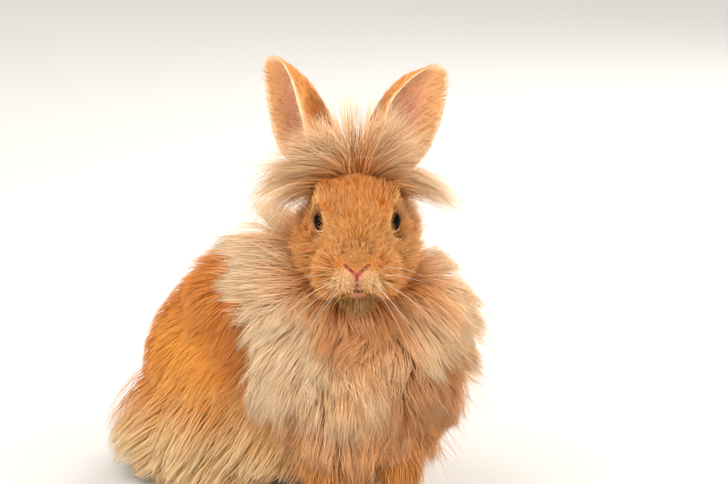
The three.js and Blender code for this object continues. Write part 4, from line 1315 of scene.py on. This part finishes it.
def bodyLengths(places, part):
    lengths = lerp(1, lerp(1.3, 0.35, fade(places[:, 2], 50, 14)), part["legs"])
    return lengths * lerp(1, 0.5, fade(places[:, 2], 14, 3)) * (1 + 0.4 * loinShare(places))


def skirtLengths(places, part):
    return lerp(0.4, 1, fade(places[:, 2], 10, 44))


def maneLengths(places, part):
    short = lerp(0.4, 1, fade(part["mane"], 0.1, 0.7))
    throat = patch(places, (0, -12, 138), (26, 30, 18))
    bib = patch(places, (-2, -10, 80), (36, 44, 26))
    return short * lerp(1, 0.55, throat) * (1 + 0.5 * bib)


furs = {name: furFinish(name, look) for name, look in furLooks.items()}
onFace = allowed * skinShares["head"] * (1 - 0.6 * crown)
onBody = allowed * (1 - skinShares["head"]) * (1 - skinShares["mane"]) * (1 - skinShares["tail"])
onMane = allowed * skinShares["mane"] * (1 - skinShares["head"])
growOver("coatFace", onFace, furs["faceFur"], coatLooks["face"], headSkin, faceLengths)
growOver("coatBody", onBody, furs["bodyFur"], coatLooks["body"], neckSkin, bodyLengths)
growOver("coatSkirt", allowed * lowFlank, furs["skirtHairPaintedLight"], coatLooks["skirt"], None,
         skirtLengths, skirtOutline)
longHair = furs["longHair"]
growOver("coatMane", onMane, longHair, coatLooks["mane"], neckSkin, maneLengths, ruffOutline)
growOver("coatWisps", onMane, longHair, coatLooks["wisps"], neckSkin, maneLengths, ruffOutline)
growOver("coatTail", allowed * skinShares["tail"], longHair, coatLooks["tail"], None)


forelockGroups = {  # on the left side: where each is rooted, behind which y, how it sets off and how it ends
    "fan": {"count": 1050, "at": (4, 11, 224), "reach": (8, 11, 11), "behind": 3,
            "start": (0.1, -0.05, 1), "end": (0.2, 0.15, 0.85), "spread": 0.26, "length": 0.9},
    "sweep": {"count": 1300, "at": (6, 9, 223), "reach": (8, 10, 10), "behind": 6,
              "start": (0.78, -0.34, 0.72), "end": (1, 0.05, -0.12), "spread": 0.2, "length": 1.04},
    "drape": {"count": 900, "at": (13, 10, 221), "reach": (9, 11, 10), "behind": 6,
              "start": (0.86, -0.3, 0.58), "end": (1, 0.05, -0.46), "spread": 0.24, "length": 0.95},
    "temple": {"count": 1000, "at": (21, 12, 214), "reach": (11, 14, 13), "behind": 0,
               "start": (0.95, -0.15, 0.22), "end": (0.75, 0.15, -0.85), "spread": 0.32, "length": 0.96},
    "nape": {"count": 1500, "at": (12, 32, 200), "reach": (24, 24, 28), "behind": 8,
             "start": (0.4, 0.8, 0.35), "end": (0.4, 0.5, -0.9), "spread": 0.3, "length": 0.7},
}


def makeForelock():  # a fan that stands up in the middle, two sweeps that part over the brow, and the nape
    sets = []
    for group in forelockGroups.values():
        for side in (1, -1):
            mirror = np.array([side, 1, 1])
            density = patch(skinPoints, np.array(group["at"]) * mirror, group["reach"])
            density = density * fade(skinPoints[:, 0] * side, -2, 2)
            density = density * fade(skinPoints[:, 1], group["behind"], group["behind"] + 5)
            roots, normals = rootsFor(density, group["count"] // 2)
            shift = draw.normal(size=(len(roots), 3)) * group["spread"]
            start = unit(np.array(group["start"]) * mirror + shift * 0.6)
            end = unit(np.array(group["end"]) * mirror + shift)
            long = np.where(draw.uniform(size=len(roots)) < 0.05, 1.35, 1) * group["length"]
            sets.append((roots, normals, start, end, long))
    roots, normals, start, end, lengths = (np.concatenate(part) for part in zip(*sets))
    tone = paint(
        allOver("mane", roots),
        ("maneTan", 0.2 + 0.6 * wobble(roots, 9, 71)),
        ("maneTan", 0.8 * fade(np.abs(roots[:, 0]), 6, 1)),
    )
    look = coatLooks["forelock"]
    makeCoat("coatForelock", roots, normals, (start, end), look, tone, longHair, lengths, headSkin)


def makeEarFur():
    for side, (points, faces, facts, tint) in zip((1, -1), leaves):
        normals = normalsOf(points, faces)
        for cover, look in (("Back", coatLooks["earBack"]), ("Inside", coatLooks["earInside"])):
            inside = cover == "Inside"
            density = facts["inner"] if inside else 1 - facts["inner"]
            density = density * (1 + earEdges(facts["u"], 0.08, 0.92)) * fade(points[:, 2], 208, 218)
            chosen, weights = scatter(points, faces, density, look["count"] // 2)
            roots = pick(points, faces, chosen, weights)
            normal = unit(pick(normals, faces, chosen, weights))
            here = {key: pick(values, faces, chosen, weights) for key, values in facts.items()}
            along, inward, u = here["along"], here["inward"], here["u"]
            heading = along
            if inside:  # out from the bottom of the cup to both edges
                heading = along * 0.5 + inward * np.clip((u - 0.5) * 3, -1, 1)[:, None]
            edge = earEdges(u, 0.08, 0.92)
            heading = heading + inward * (edge * np.sign(u - 0.5) * 0.15)[:, None]
            light = edge * 0.5 + (0.3 if inside else 0.0)
            tone = lerp(pick(tint, faces, chosen, weights), tones["earRim"], light[:, None])
            name = f"coatEar{cover}{'Left' if side > 0 else 'Right'}"
            startEnd = ways(heading, normal, look)
            lengths = lerp(1, 0.25, edge) * lerp(1, 0.4, fade(here["t"], 0.86, 0.98))
            makeCoat(name, roots, normal, startEnd, look, tone, furs["earFur"], lengths)


makeForelock()
makeEarFur()

whiskers = {
    "thickness": 0.065, "steps": 12, "around": 5,
    "each": [  # places out from the middle and up, the way it points and its length
        (11, 163, (0.86, -0.3, -0.6), 46), (12.5, 165.5, (0.95, -0.2, -0.35), 46),
        (13.5, 169.5, (1.0, -0.1, 0.05), 32), (10, 160.5, (0.7, -0.35, -0.75), 42),
        (9, 165.5, (0.75, -0.5, -0.6), 44), (13, 173, (0.95, -0.1, 0.25), 26),
    ],
}


def makeWhiskers():
    parts = []
    for side in (1, -1):
        for out, height, aim, length in whiskers["each"]:
            out, height = out + draw.uniform(-0.6, 0.6), height + draw.uniform(-0.6, 0.6)
            at = vec(side * out, -70, height)
            while skinForm(at[None])[0] > -0.4:
                at = at + vec(0, 0.25, 0)
            way = unit(vec(side * aim[0], aim[1], aim[2]) + draw.normal(size=3) * 0.06)
            parts.append(hairTube(at, way, length * draw.uniform(0.85, 1.1), draw.uniform(0.3, 0.9)))
    thing = meshObject("whiskers", *join(parts))
    thing.data.materials.append(plainFinish("whisker", srgb(250, 240, 224), 200.0))
    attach(thing, "root")
    print("whiskers", len(parts))


def hairTube(root, way, length, sag):
    steps, around, at, rings = whiskers["steps"], whiskers["around"], root.copy(), []
    for step in range(steps + 1):
        share = step / steps
        heading = unit(way + down * sag * share)
        side = unit(np.cross(heading, (0.1, 0.2, 1)))
        size = whiskers["thickness"] * (1 - share) ** 0.7 + 0.015
        rings.append(at + size * circle(around, side, np.cross(side, heading)))
        at = at + heading * length / steps
    points, faces = loft(np.array(rings))
    some = slice(around, 2 * around)
    return points, turnedOut(points, faces, some, points[some] - points[some].mean(0))


makeWhiskers()


# Floor and light

def makeFloor():
    floor = bpy.data.meshes.new("floor")
    reach = 8.0
    corners = [(-reach, -reach, 0), (reach, -reach, 0), (reach, reach, 0), (-reach, reach, 0)]
    floor.from_pydata(corners, [], [(0, 1, 2, 3)])
    thing = bpy.data.objects.new("floor", floor)
    bpy.context.scene.collection.objects.link(thing)
    finish = Finish("floor", Base_Color=(0.66, 0.65, 0.63, 1), Roughness=0.9)
    floor.materials.append(finish.material)


lights = {  # where each stands and what it is turned to, in metres, its size, power and colour
    "key": ((-0.9, -1.3, 1.9), (0, 0, 0.15), 1.6, 32, (1.0, 0.96, 0.9)),
    "fill": ((1.5, -1.0, 1.1), (0, 0, 0.15), 1.8, 15, (1.0, 0.96, 0.9)),
    "low": ((-1.0, -1.5, 0.4), (0, 0, 0.1), 1.4, 7, (1.0, 0.96, 0.9)),
    "rim": ((0.9, 1.3, 1.2), (0, 0, 0.15), 1.0, 22, (1.0, 0.95, 0.88)),
}


def addLight(name, place, target, size, power, colour):
    data = bpy.data.lights.new(name, "AREA")
    data.size, data.energy, data.color = size, power, colour
    thing = bpy.data.objects.new(name, data)
    bpy.context.scene.collection.objects.link(thing)
    thing.location = place
    thing.rotation_euler = (Vector(target) - Vector(place)).to_track_quat("-Z", "Y").to_euler()


makeFloor()
for name, light in lights.items():
    addLight(name, *light)
world = bpy.data.worlds.new("world")
bpy.context.scene.world = world
world.use_nodes = True
world.node_tree.nodes["Background"].inputs["Color"].default_value = (1.0, 0.97, 0.93, 1)
world.node_tree.nodes["Background"].inputs["Strength"].default_value = 1.0
bpy.context.scene.view_settings.view_transform = "Standard"
print("floor and", len(lights), "lights made")
